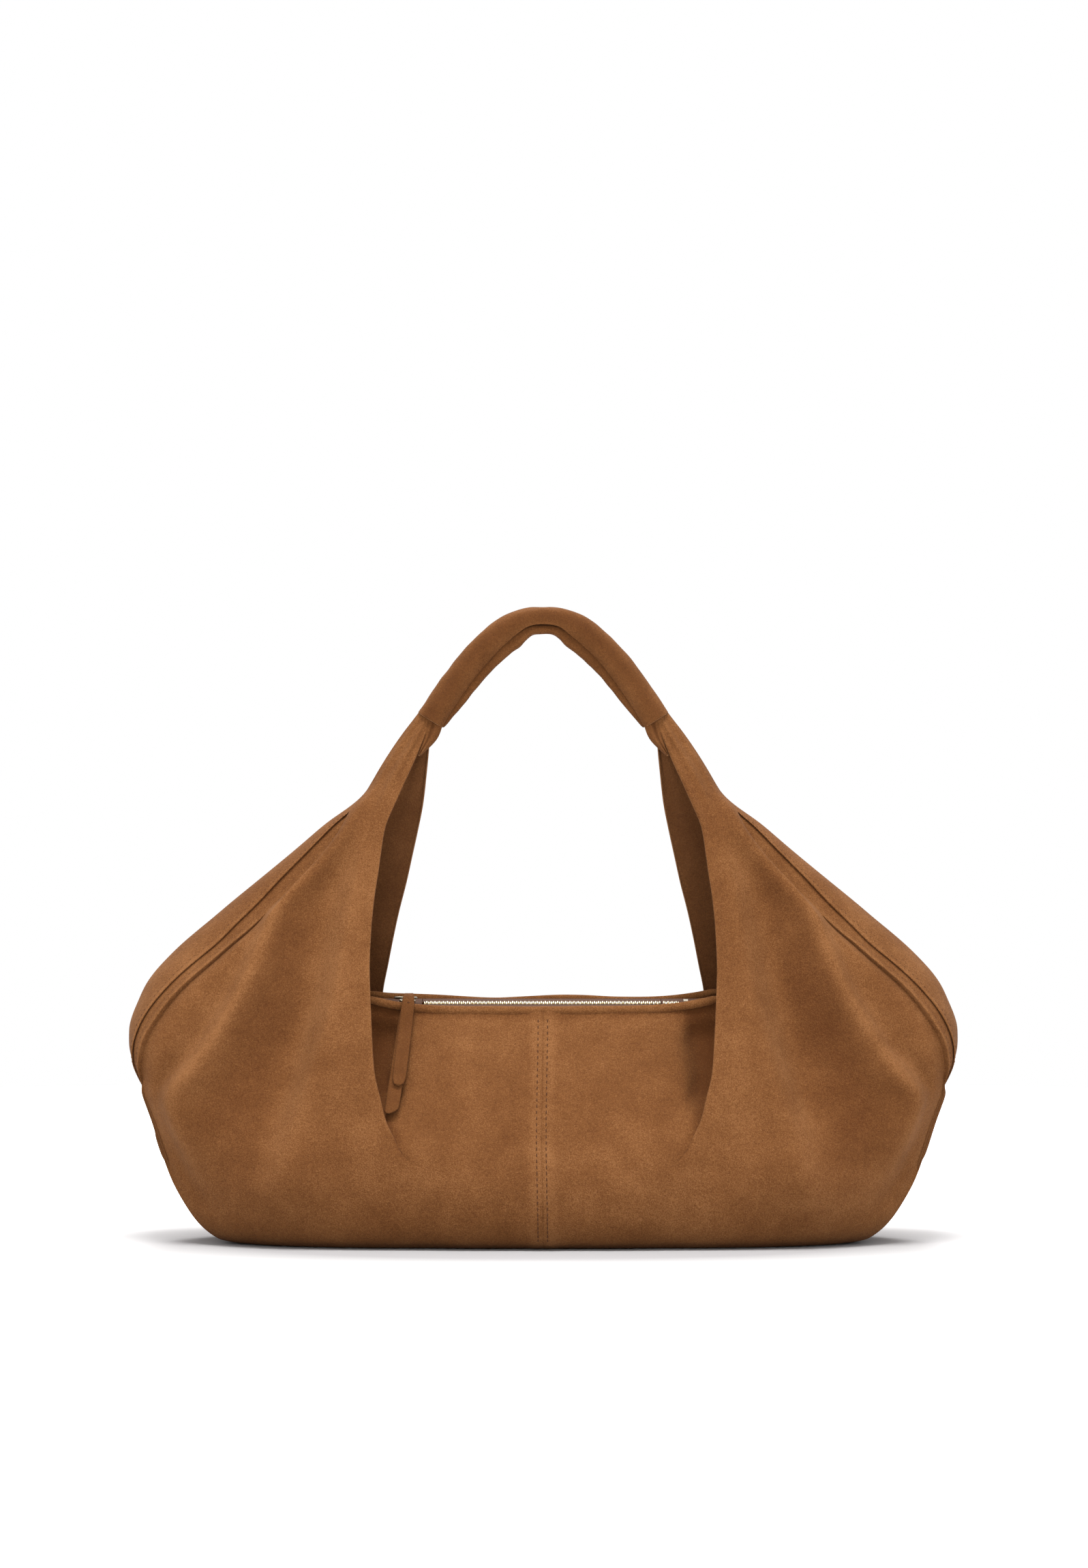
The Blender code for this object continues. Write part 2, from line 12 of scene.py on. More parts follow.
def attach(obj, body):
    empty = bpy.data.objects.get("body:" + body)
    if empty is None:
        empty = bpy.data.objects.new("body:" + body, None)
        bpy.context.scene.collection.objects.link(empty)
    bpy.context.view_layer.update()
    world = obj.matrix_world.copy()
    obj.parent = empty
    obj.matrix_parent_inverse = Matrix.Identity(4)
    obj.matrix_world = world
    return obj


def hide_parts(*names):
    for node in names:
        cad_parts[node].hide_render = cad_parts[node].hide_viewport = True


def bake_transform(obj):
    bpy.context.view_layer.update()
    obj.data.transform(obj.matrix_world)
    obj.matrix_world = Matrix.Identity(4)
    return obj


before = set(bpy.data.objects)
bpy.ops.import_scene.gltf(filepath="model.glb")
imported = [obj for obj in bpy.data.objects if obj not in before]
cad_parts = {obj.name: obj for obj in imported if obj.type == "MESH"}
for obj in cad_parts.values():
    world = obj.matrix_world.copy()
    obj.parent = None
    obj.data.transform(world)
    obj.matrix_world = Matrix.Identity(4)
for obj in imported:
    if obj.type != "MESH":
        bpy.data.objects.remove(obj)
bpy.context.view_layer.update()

MM = 0.001
EYE = (0.0004, -3.0, 0.30)
FRAME_HEIGHT = 0.9200  # what the picture spans, top to bottom, on the middle plane
PICTURE_CENTRE = 0.268  # its height on the middle plane
SENSOR_WIDTH = 36
FLOOR_RADIUS = 1.35

CENTRE_TOP = 134.2 * MM  # the top of the body at the middle seam
NECK_FROM = 262 * MM  # above this the horn is gathered towards the handle
FACES = (("front", -1), ("back", 1))
SIDES = (("left", -1), ("right", 1))


# Numbers and curves

def hermite(t, start, start_slope, end, end_slope):
    """A cubic from start to end as t goes from 0 to 1."""
    return (
        (2 * t**3 - 3 * t**2 + 1) * start + (t**3 - 2 * t**2 + t) * start_slope
        + (3 * t**2 - 2 * t**3) * end + (t**3 - t**2) * end_slope
    )


def curve_through(*knots):
    """A smooth function through (height, value) pairs in millimetres that never overshoots them."""
    xs = [k[0] * MM for k in knots]
    ys = [k[1] * MM for k in knots]
    slopes = [(b - a) / (q - p) for a, b, p, q in zip(ys, ys[1:], xs, xs[1:])]
    tangents = [slopes[0]]
    for before, after in zip(slopes, slopes[1:]):
        tangents.append(0 if before * after <= 0 else 2 * before * after / (before + after))
    tangents.append(slopes[-1])

    def value(x):
        x = min(max(x, xs[0]), xs[-1])
        i = max(j for j in range(len(xs) - 1) if xs[j] <= x)
        span = xs[i + 1] - xs[i]
        return hermite((x - xs[i]) / span, ys[i], span * tangents[i], ys[i + 1], span * tangents[i + 1])

    return value


def smoothstep(low, high, value):
    t = min(max((value - low) / (high - low), 0), 1)
    return t * t * (3 - 2 * t)


def rise(low, high, value):
    """A smoothstep between two lengths in millimetres."""
    return smoothstep(low * MM, high * MM, value)


def mix(a, b, t):
    return a + (b - a) * t


def bell(offset, width):
    return math.exp(-((offset / width) ** 2))


def waver(x, y, z):
    return noise.noise(Vector((x, y, z)))


def around(count):
    """Even angles round a full turn."""
    return [2 * math.pi * i / count for i in range(count)]


def beside(items, i):
    """The items before and after item i; an end stands in for what lies beyond it."""
    return items[max(i - 1, 0)], items[min(i + 1, len(items) - 1)]


# Profiles by height: distances in front of the middle plane, and distances from the middle seam.
centre_depth = curve_through(
    (0, 53), (2.6, 58.5), (5, 62), (9.9, 65.5), (19.2, 67.9), (31.8, 68.4), (50.1, 65), (72, 56.5),
    (94, 45), (114, 31.5), (126, 23.5), (134.6, 18.6)
)
fold_depth = curve_through(
    (0, 50), (2.6, 54.5), (5, 58.5), (9.9, 62.5), (19.2, 65), (31.8, 66), (50.1, 65), (72, 61), (94, 57),
    (114, 53), (138, 48), (176, 40), (216, 31), (256, 20), (285, 11), (300, 6.5), (312, 6)
)
front_edge = curve_through(
    (0, 66), (30, 70), (47.5, 75.5), (56, 81.5), (66, 86.2), (74, 90.3), (88.6, 94), (101.6, 97.2),
    (123, 98.8), (146.8, 99.9), (162.6, 100.4), (186.4, 99.4), (201.5, 98), (217.6, 95.6), (242.6, 92),
    (252.6, 88.2), (257, 86.2), (267, 81.8), (283.4, 74.4), (297, 68.9), (306, 65.6), (312, 64)
)
back_edge = curve_through(
    (0, 66), (30, 70), (50, 78), (75, 88), (100, 95), (125, 96.8), (143, 95.5), (160, 92.2), (176, 89),
    (193, 85.2), (209, 81), (225, 77.4), (241, 73.8), (257, 70.6), (274, 68.6), (290, 67), (297, 66.5),
    (306, 64.5), (312, 63.5)
)
seam_reach = curve_through(
    (0, 181), (2.6, 186), (5, 190), (9, 195), (15, 200.6), (22, 205.6), (37.2, 214.6), (54, 221), (70, 226),
    (86, 231.6), (95, 234), (102, 235.6), (109.5, 234.8), (119, 232.4), (131, 225.6), (144.5, 215.5),
    (155, 205), (165.8, 192), (175, 181.5), (183, 171.4), (192.5, 161), (212, 140), (228, 124.5),
    (244, 112.5), (256, 107), (268, 101.4), (285, 91.4), (300, 81), (308, 74.6), (316, 69)
)
band_reach = curve_through(
    (0, 178), (2.6, 183), (9.9, 193.5), (22, 203.5), (39, 212.8), (54, 218.4), (70, 223.4), (86, 229.6),
    (97, 235.4), (107, 238.6), (114, 238.4), (123.5, 236), (135.5, 230), (145.8, 222), (156.8, 211.4),
    (165.8, 201), (175.4, 189.2), (186, 178.8), (199, 165.4), (212.8, 152.6), (228.8, 136.8), (244.8, 121),
    (256, 109), (268, 100), (285, 90.4), (300, 81.4), (308, 75), (316, 69.5)
)
outline_reach = curve_through(
    (0, 179), (2.6, 184), (9.9, 194), (15, 199), (22, 204), (30, 208.5), (39, 213.4), (54, 219), (70, 224),
    (86, 230), (95, 234.8), (103, 239.2), (110, 242.2), (116, 243.4), (125, 243.4), (133, 241.4),
    (141, 238), (149, 234.5), (157, 229.2), (165, 222), (173, 214), (181, 204.8), (189, 195), (197, 185.6),
    (213, 166), (229, 146.6), (245, 128), (253, 118.6), (261, 109.5), (269, 102.3), (277, 97), (285, 91.8),
    (293, 86.2), (301, 80.6), (309, 74.4), (316, 70)
)
seam_depth = curve_through(
    (0, 9), (19.2, 11), (61, 12), (82, 13), (94, 17), (104, 24), (112, 29.5), (122, 31.5), (132, 32),
    (153, 30.5), (173, 27.5), (195, 23.5), (221, 18), (240, 12.5), (256, 6), (268, 2.2), (282, 0.7),
    (300, 0.6), (316, 0.6)
)

# The drape's folds by height: the crest that falls to the side, and the valley inside it.
crest_reach = curve_through(
    (0, 172), (20, 190), (40, 203), (60, 213), (74, 218.5), (84, 220.5), (91, 218), (100.5, 210.5),
    (114, 199), (136, 185), (156, 174), (183, 163.5), (203, 156), (217, 144), (240, 128), (270, 100)
)
valley_reach = curve_through(
    (0, 172), (30, 166), (58, 160), (86, 152), (114, 143.8), (147, 135.5), (175, 130), (203, 124),
    (238, 116.3), (262, 106)
)
valley_depth = curve_through(
    (0, 36), (10, 46), (20, 52), (35, 56), (50, 55), (65, 51), (80, 45.5), (100, 39.5), (120, 35),
    (140, 32), (160, 29.5), (180, 27), (200, 24.5), (220, 22), (240, 18.8), (262, 12)
)
crest_depth = curve_through(
    (0, 14), (20, 25), (40, 31), (60, 35), (76, 39), (88, 42.5), (100, 45.5), (120, 47), (140, 46.5),
    (160, 43.5), (180, 39), (200, 33), (220, 25.5), (240, 18.5), (262, 10)
)
# The body's recess behind the horn's free edge.
recess_width = curve_through((70, 1), (78, 4), (95, 10.5), (134, 18.5))


def ripple(x, z, turn):
    """Small unevenness of soft leather."""
    coarse = waver(x * 14 + turn, z * 11, 3.1 + turn)
    fine = waver(x * 34 + turn, z * 26, 9.7)
    return (1.5 * coarse + 0.7 * fine) * MM


def round_section(share, near, far, z):
    """A plain rounded section from the fold to the seam."""
    low = 1 - rise(96, 128, z)
    return far + (near - far) * (1 - share**2.5) ** mix(1.0, 0.62, low)


def draped_section(x, z, near_x, far_x, near, far):
    """Depth of the draped panel at x, through the shelf, the valley, the crest and the crest's foot."""
    scale = (far_x - near_x) / (seam_reach(z) - front_edge(z))
    valley = near_x + (valley_reach(z) - front_edge(z)) * scale
    crest = near_x + (crest_reach(z) - front_edge(z)) * scale
    shelf = valley - min(15 * MM, 0.5 * (valley - near_x))
    foot = crest + min(6.5 * MM, 0.4 * max(far_x - crest, 1 * MM))
    low, high = valley_depth(z), crest_depth(z)
    at_foot = mix(high, far, 0.62)
    knots = [
        (near_x - 10 * MM, near), (near_x, near), (mix(near_x, shelf, 0.5), near - 1.1 * MM),
        (shelf, near - 0.6 * MM), (valley, low), (mix(valley, crest, 0.45), mix(low, high, 0.40) - 0.8 * MM),
        (crest - 1.5 * MM, high), (foot, at_foot), (mix(foot, far_x, 0.55), at_foot - 0.5 * MM),
        (far_x, far), (far_x + 10 * MM, far - 8 * MM),
    ]
    xs = [k[0] for k in knots]
    for i in range(1, len(xs)):
        xs[i] = max(xs[i], xs[i - 1] + 0.4 * MM)
    i = max(min(max(j for j in range(len(xs)) if xs[j] <= max(x, xs[1])), len(xs) - 3), 1)
    span = xs[i + 1] - xs[i]
    t = min(max((x - xs[i]) / span, 0), 1)
    before, start, end, after = (knots[k][1] for k in (i - 1, i, i + 1, i + 2))
    limit = 2.2 * abs(end - start) + 0.3 * MM  # so that the curve hardly overshoots
    start_slope = (end - before) / (xs[i + 1] - xs[i - 1]) * span
    end_slope = (after - start) / (xs[i + 2] - xs[i]) * span
    start_slope, end_slope = (max(min(slope, limit), -limit) for slope in (start_slope, end_slope))
    return hermite(t, start, start_slope, end, end_slope)


# Materials

def new_material(name):
    """A material, its node tree, its shader and the object's own coordinates."""
    material = bpy.data.materials.new(name)
    material.use_nodes = True
    tree = material.node_tree
    place = add_node(tree, "TexCoord").outputs["Object"]
    return material, tree, tree.nodes["Principled BSDF"], place


def fill_socket(tree, socket, value):
    """Links an output to the socket, or sets a number or an RGB colour on it."""
    if isinstance(value, bpy.types.NodeSocket):
        tree.links.new(value, socket)
    else:
        socket.default_value = (*value, 1) if isinstance(value, tuple) else value


def set_inputs(tree, node, **values):
    """Fills the node's named inputs, with _ for a space in an input's name."""
    for name, value in values.items():
        fill_socket(tree, node.inputs[name.replace("_", " ")], value)


def add_node(tree, kind, **values):
    node = tree.nodes.new("ShaderNode" + kind)
    set_inputs(tree, node, **values)
    return node


def add_noise(tree, vector, scale, detail=3.0, rough=0.55):
    node = add_node(tree, "TexNoise", Vector=vector, Scale=scale, Detail=detail, Roughness=rough)
    return node.outputs["Fac"]


def ramp(tree, value, low, high, to_low=0.0, to_high=1.0):
    node = add_node(tree, "MapRange", Value=value, From_Min=low, From_Max=high, To_Min=to_low, To_Max=to_high)
    return node.outputs["Result"]


def blend_colours(tree, factor, a, b):
    node = add_node(tree, "Mix")
    node.data_type = "RGBA"
    for index, value in ((0, factor), (6, a), (7, b)):
        fill_socket(tree, node.inputs[index], value)
    return node.outputs[2]


def maths(tree, operation, a, b):
    node = add_node(tree, "Math")
    node.operation = operation
    for socket, value in zip(node.inputs, (a, b)):
        fill_socket(tree, socket, value)
    return node.outputs[0]


def add_bump(tree, shader, height, strength, distance):
    bump = add_node(tree, "Bump", Height=height, Strength=strength, Distance=distance)
    set_inputs(tree, shader, Normal=bump.outputs["Normal"])


def suede(name, light, mid, dark, grain=1.0, bump=1.0):
    """Napped leather: cloudy patches where the nap lies differently, mottling, and a fine grain."""
    material, tree, shader, place = new_material(name)
    patches = add_noise(tree, place, 16, 2.5, 0.5)
    clouds = add_noise(tree, place, 62, 3, 0.6)
    mottle = add_noise(tree, place, 480, 3, 0.6)
    speck = add_noise(tree, place, 1500, 2.5, 0.6)
    # the mesh's per-vertex tone, mostly painted highlights and painted shade, added to the nap's colour
    painted_light_and_tone = add_node(tree, "Attribute")
    painted_light_and_tone.attribute_name = "painted_light_and_tone"
    tone = painted_light_and_tone.outputs["Fac"]
    for layer, strength in ((patches, 0.22), (clouds, 0.16), (mottle, 0.14 * grain), (speck, 0.5 * grain)):
        tone = maths(tree, "ADD", tone, ramp(tree, layer, 0.3, 0.7, -strength, strength))
    colour = blend_colours(tree, ramp(tree, tone, 0.0, 0.75), mid, light)
    colour = blend_colours(tree, ramp(tree, tone, 0.0, -0.75), colour, dark)
    set_inputs(tree, shader, Base_Color=colour, Roughness=ramp(tree, mottle, 0.3, 0.7, 0.88, 1.0))
    set_inputs(tree, shader, Specular_IOR_Level=0.08, Sheen_Weight=0.02, Sheen_Roughness=0.55)
    set_inputs(tree, shader, Sheen_Tint=(0.95, 0.68, 0.45))
    grains = maths(tree, "ADD", maths(tree, "MULTIPLY", speck, 0.6), mottle)
    add_bump(tree, shader, grains, 0.6 * bump, 0.0009)
    return material


def woven(name, colour, dark, pitch):
    """Plain woven cloth: two crossed sets of threads."""
    material, tree, shader, place = new_material(name)
    waves = []
    for axis in ("X", "Y"):
        wave = add_node(tree, "TexWave", Vector=place, Scale=0.314 / pitch, Distortion=0.6)
        wave.wave_type = "BANDS"
        wave.bands_direction = axis
        waves.append(wave.outputs["Fac"])
    weave = maths(tree, "MULTIPLY", *waves)
    cloud = add_noise(tree, place, 90)
    tone = maths(tree, "ADD", maths(tree, "MULTIPLY", weave, 0.6), maths(tree, "MULTIPLY", cloud, 0.4))
    colour = blend_colours(tree, tone, dark, colour)
    set_inputs(tree, shader, Base_Color=colour, Roughness=0.9, Specular_IOR_Level=0.2)
    add_bump(tree, shader, weave, 0.5, 0.0003)
    return material


def metal(name, colour, dark, roughness):
    """Metal with a little grime and fine scratches."""
    material, tree, shader, place = new_material(name)
    grime = add_noise(tree, place, 420, 4, 0.6)
    colour = blend_colours(tree, ramp(tree, grime, 0.35, 0.65), dark, colour)
    dull = ramp(tree, grime, 0.3, 0.7, roughness + 0.12, roughness)
    set_inputs(tree, shader, Base_Color=colour, Roughness=dull, Metallic=1.0)
    add_bump(tree, shader, add_noise(tree, place, 2600, 2), 0.12, 0.0001)
    return material


SUEDE = suede("suede_nap", (0.178, 0.077, 0.0280), (0.112, 0.0435, 0.0132), (0.068, 0.0228, 0.0060))
# a darker copy of the suede: painted shade for the handle, its underlay and folds, and the pull strap
SUEDE_HANDLE = suede("suede_handle", (0.138, 0.056, 0.0185), (0.086, 0.0315, 0.009), (0.053, 0.0175, 0.0045),
                     0.7)
# a darker copy of the suede: painted shade for the sheets' inner faces and the wing floors
SUEDE_INSIDE = suede("suede_inner_shade", (0.135, 0.058, 0.0215), (0.088, 0.0345, 0.0115), (0.055, 0.019, 0.006),
                     0.8)
CUT_EDGE = suede("suede_cut_edge", (0.19, 0.092, 0.042), (0.15, 0.068, 0.028), (0.10, 0.043, 0.017), 0.7, 0.7)
THREAD = woven("sewing_thread", (0.080, 0.030, 0.0095), (0.045, 0.016, 0.005), 0.0003)
LINING = woven("cotton_lining", (0.30, 0.185, 0.10), (0.20, 0.115, 0.06), 0.0006)
TAPE = woven("zip_tape_cloth", (0.080, 0.030, 0.0105), (0.035, 0.012, 0.004), 0.0006)
TEETH = metal("tooth_metal", (0.86, 0.78, 0.60), (0.60, 0.50, 0.32), 0.24)
ANTIQUE = metal("antique_metal", (0.24, 0.20, 0.135), (0.10, 0.08, 0.05), 0.32)
FOAM = woven("handle_felt", (0.34, 0.27, 0.19), (0.24, 0.18, 0.12), 0.0012)
BOARD = woven("pressed_board", (0.30, 0.25, 0.2), (0.2, 0.16, 0.12), 0.0009)
# outer face, inner face and cut edge
LEATHER = (SUEDE, SUEDE_INSIDE, CUT_EDGE)
HANDLE_LEATHER = (SUEDE_HANDLE, SUEDE_INSIDE, CUT_EDGE)


# Mesh helpers

def new_object(name, data, *materials):
    obj = bpy.data.objects.new(name, data)
    bpy.context.scene.collection.objects.link(obj)
    for material in materials:
        data.materials.append(material)
    return obj


def mesh_object(name, mesh, *materials, flat=False):
    """An object from a bmesh, which is freed."""
    data = bpy.data.meshes.new(name)
    mesh.to_mesh(data)
    mesh.free()
    data.polygons.foreach_set("use_smooth", [not flat] * len(data.polygons))
    data.update()
    return new_object(name, data, *materials)


def grid_object(name, rows, materials, painted_light_and_tone=None, outward=None, close=False, loop=False, fill_below=None):
    """A mesh from rows of points; None leaves a gap in the grid.

    close joins each row's ends, loop joins the last row to the first, and open edges lower than
    fill_below are filled."""
    mesh = bmesh.new()
    # a per-vertex tone read by the suede shaders: mostly painted highlights and painted shade, with some
    # plain tone
    layer = mesh.verts.layers.float.new("painted_light_and_tone")
    placed = []
    for i, row in enumerate(rows):
        line = []
        for j, point in enumerate(row):
            vert = None
            if point is not None:
                vert = mesh.verts.new(point)
                vert[layer] = painted_light_and_tone[i][j] if painted_light_and_tone else 0.0
            line.append(vert)
        placed.append(line)
    for lower, upper in zip(placed, placed[1:] + placed[:loop]):
        count = len(lower)
        for j in range(count if close else count - 1):
            k = (j + 1) % count
            corners = (lower[j], lower[k], upper[k], upper[j])
            if all(corners):
                mesh.faces.new(corners)
    if fill_below is not None:
        rim = [edge for edge in mesh.edges if edge.is_boundary and edge.verts[0].co.z < fill_below]
        bmesh.ops.holes_fill(mesh, edges=rim)
    bmesh.ops.recalc_face_normals(mesh, faces=mesh.faces)
    if outward is not None and sum(face.normal.dot(outward) * face.calc_area() for face in mesh.faces) < 0:
        bmesh.ops.reverse_faces(mesh, faces=mesh.faces)
    return mesh_object(name, mesh, *materials)


def skin(mesh, rings):
    """Joins equal rings of vertices with faces and closes both ends."""
    for lower, upper in zip(rings, rings[1:]):
        for i in range(len(lower)):
            k = (i + 1) % len(lower)
            mesh.faces.new((lower[i], lower[k], upper[k], upper[i]))
    mesh.faces.new(list(reversed(rings[0])))
    mesh.faces.new(rings[-1])


def thicken(obj, thickness):
    """Gives a sheet its thickness on its inner side, with the inner face's and the cut edge's materials."""
    modifier = obj.modifiers.new("thickness", "SOLIDIFY")
    modifier.thickness = thickness
    modifier.offset = -1.0
    slots = len(obj.data.materials)
    modifier.material_offset = 1 if slots > 1 else 0
    modifier.material_offset_rim = 2 if slots > 2 else 0
    return obj


def smooth(obj, levels=1):
    modifier = obj.modifiers.new("smooth", "SUBSURF")
    modifier.levels = modifier.render_levels = levels
    modifier.boundary_smooth = "PRESERVE_CORNERS"
    return obj


def put(obj, body, *nodes, slot="suede"):
    if body:
        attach(obj, body)
    if nodes:
        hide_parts(*nodes)
    return obj


def flip(point, left, back):
    return Vector((-point.x if left else point.x, -point.y if back else point.y, point.z))


# Shell

# the lowest rows' heights in mm, and what share of the base's size they have
LOW_ROUND = ((0.2, 0.955), (0.55, 0.972), (1.2, 0.984), (2.0, 0.993))
ROW_HEIGHTS = [2.6, 4, 6, 9, 12.5] + [16.5 + 4.2 * i for i in range(68)] + [305.5, 309, 312.5]
BODY_SHARES = [0, 0.006, 0.016, 0.032, 0.055, 0.09] + [0.09 + 0.84 * i / 15 for i in range(1, 16)]
FREE_EDGE = 0.012  # the horn's first share
HORN_SHARES = [FREE_EDGE, 0.03] + [0.03 + 0.91 * (i / 36) for i in range(1, 37)] + [0.955, 0.97, 0.985, 1.0]


def edge_of(back):
    return back_edge if back else front_edge


def body_top(back):
    return CENTRE_TOP + (3 * MM if back else 0)


def rise_at(x, back):
    """How much higher than its middle the top edge of the body is."""
    if back:
        return 1.2 * MM + 4.6 * MM * (abs(x) / (104 * MM)) ** 8 + 0.8 * MM * math.sin(x * 75 + 0.6)
    return 6.2 * MM * (abs(x) / (100 * MM)) ** 4.5


def body_surface(x, z, back):
    """How far the body stands from the middle plane between the middle seam and the fold."""
    edge = edge_of(back)(z)
    step = rise(47, 94, z)
    plain = centre_depth(z) + (fold_depth(z) - centre_depth(z)) * (x / edge) ** 2
    recessed = centre_depth(z) - 1.5 * MM * (x / edge) ** 2
    sag = 1.6 * MM * bell(z - 84 * MM, 24 * MM) * math.cos(x / edge * 1.4)
    groove = -0.7 * MM * math.exp(-abs(x) / (0.8 * MM)) + 0.9 * MM * (1 - rise(5, 10, abs(x)))
    soft = waver(x * 20, z * 22, 5.3 if back else 1.7) * 1.1 * MM * rise(0, 14, abs(x))
    hollow = 13 * MM * recess(x, z, edge) * step * (1 - 0.85 * rise(116, 131, z))
    return plain + (recessed - plain) * step - sag + groove + soft - hollow


def recess(x, z, edge):
    """How far a point of the body is into the recess behind the horn's free edge, from 0 to 1."""
    start = edge - recess_width(z)
    return smoothstep(start - 2.5 * MM, start + 4.5 * MM, x) * rise(68, 90, z)


def painted_fold_light(x, z):
    """Painted highlights on the drape's crests and shelf and painted shade in the valley between them, with a
    darker band below the handle.
    """
    valley, crest = valley_reach(z), crest_reach(z)
    on_crest = 0.34 * bell(x - crest + 3 * MM, 4.5 * MM)
    beside_crest = 0.22 * bell(x - crest - 4 * MM, 10 * MM)
    on_shelf = 0.26 * bell(x - valley + 8 * MM, 9 * MM)
    in_valley = 0.34 * bell(x - mix(valley, crest, 0.4), 0.3 * (crest - valley) + 2 * MM)
    drape = (on_crest + beside_crest + on_shelf - in_valley) * rise(24, 60, z) * (1 - rise(215, 240, z))
    neck = 0.16 * rise(222, 248, z) * (1 - rise(270, 290, z))
    return drape - neck


def seam_line(z):
    """The middle seam wanders a little."""
    return -0.9 * MM * math.sin(math.pi * min(z / CENTRE_TOP, 1)) ** 2


def horn_point(z, share, back, left):
    """A point of the panel outside the fold. share runs from 0 at the free edge to 1 at the gusset's band."""
    edge = edge_of(back)
    half = (outline_reach(z) - edge(z)) / 2
    slant = (0.8 if back else 1.0) * rise(256, 304, z)
    near_z, far_z = z - slant * half, z + slant * half
    near, far = edge(near_z), seam_reach(far_z)
    # low down the panel rolls round the side, in front of its own seam
    roll = 1 - rise(88, 104, z)
    rolled = share / 0.955 if share < 0.955 else 1 - 7 * (share - 0.955) ** 2
    x = near + mix(share * (far - near), rolled * (far + 3.0 * MM - near), roll)
    height = mix(near_z, far_z, share)
    near_depth, far_depth = fold_depth(near_z), seam_depth(far_z)
    plain = round_section(share, near_depth, far_depth, z)
    draped = draped_section(x, min(z, NECK_FROM), near, far, near_depth, far_depth)
    amount = rise(8, 52, z) * (1 - rise(236, 264, z)) * (0.75 if back else 1)
    depth = mix(plain, draped, amount)
    # the drape overhangs the band between the handle and the widest fold
    hang = rise(180, 214, height) * (1 - rise(252, 268, height))
    depth += 5.6 * MM * hang * math.sin(math.pi * min(max((share - 0.5) / 0.5, 0), 1) ** 1.8)
    if not back:
        x += 7.5 * MM * hang * max(share - 0.55, 0) / 0.45 * (1 - smoothstep(0.93, 1.0, share) * 0.8)
    depth -= 2.4 * MM * smoothstep(0.93, 0.99, share) * (1 - roll) * (1 - rise(244, 266, z))
    full = smoothstep(0.0, 0.10, share) * (1 - smoothstep(0.9, 1.0, share))
    full *= rise(0, 30, z) * (1 - rise(262, 300, z))
    off = ripple(x, height, (7.0 if left else 0.0) + (15.0 if back else 0.0)) * full
    # gathers towards the handle
    gathered = rise(215, 290, z) * (1 - rise(302, 309, z))
    gathered *= smoothstep(0, 0.12, share) * (1 - smoothstep(0.82, 1.0, share))
    off += 0.8 * MM * gathered * math.sin(share * 15 + (1.4 if left else 0.4))
    return Vector((x, -(depth + off) * mix(1, 0.86, rise(298, 309, z)), height)), off


def body_part(z, back, left):
    """One row's points and tones from the middle seam to the pleat, with gaps above the rolled edge."""
    edge, top = edge_of(back)(z), body_top(back)
    part = []
    for share in BODY_SHARES:
        x = share * edge
        line = (-seam_line(z) if left else seam_line(z)) * (1 - share)
        overlap = 0.35 * MM if share == 0 else 0  # of the two halves, so that no light gets through
        height = min(z, top + 1.6 * MM) + rise_at(x, back) * smoothstep(85 * MM, top, z)
        point = Vector((x + line - overlap, -body_surface(x, min(z, top), back), height))
        # painted highlight on the raised seam allowances beside the middle seam, and painted shade along the
        # seam itself
        seam_tone = 0.34 * (1 - rise(5, 9, x)) - 0.22 * math.exp(-abs(x) / (0.9 * MM))
        # painted shade under the rolled edge of the zip
        under_roll = 0.35 * smoothstep(top - 2 * MM, top, z)
        # painted shade in the recess behind the horn's free edge
        part.append((point if in_body(z, back) else None, seam_tone - under_roll - 0.7 * recess(x, z, edge)))
    return part


def in_body(z, back):
    """Whether the body reaches a height. Its edge ends inside the rolled edge."""
    return z <= body_top(back) + 4.3 * MM


def pleat_part(z, back, left):
    """One row's points and tones behind the free edge, round the tuck, and back out to the edge."""
    edge, top, front = edge_of(back)(z), body_top(back), fold_depth(z)
    pleat = rise(44, 84, z)
    tuck, wall = 9 * MM, max(front - body_surface(edge, min(z, top), back), 0)
    # distance from the middle seam, and how far behind the free edge
    path = (
        (edge + 0.2 * tuck, wall), (edge + 0.8 * tuck, wall * 0.97),
        (edge + 1.0 * tuck, mix(wall, 3 * MM, 0.25)), (edge + 1.0 * tuck, mix(wall, 3 * MM, 0.75)),
        (edge + 0.7 * tuck, 3.4 * MM), (edge + 0.25 * tuck, 3.0 * MM), (edge + 0.4 * MM, 2.5 * MM),
        (edge - 0.15 * MM, 1.3 * MM), (edge + 0.35 * MM, 0.25 * MM),
    )
    start, finish = 0.93 * edge, edge + FREE_EDGE * (seam_reach(z) - edge)
    first = Vector((start, -body_surface(start, min(z, top), back), z))
    last, _ = horn_point(z, FREE_EDGE, back, left)
    lift = rise_at(edge, back) * smoothstep(85 * MM, top, z)
    part = []
    for j, (x, behind) in enumerate(path):
        t = (j + 1) / (len(path) + 1)
        on_turn, on_lip = j >= 6, j >= 7
        folded = Vector((x, behind - front, z + lift * (1 - t)))
        if on_turn:
            folded.z = last.z
            if z > 150 * MM:
                folded.x = last.x - (finish - x)
                folded.y = last.y + behind
        point = first.lerp(last, t).lerp(folded, pleat)
        # painted highlight on the lip where the sheet turns at the free edge, and painted shade inside the
        # pleat
        tone = 0.22 if on_lip and pleat > 0.5 else -0.7 * pleat
        part.append((point if in_body(z, back) or on_lip else None, tone))
    return part


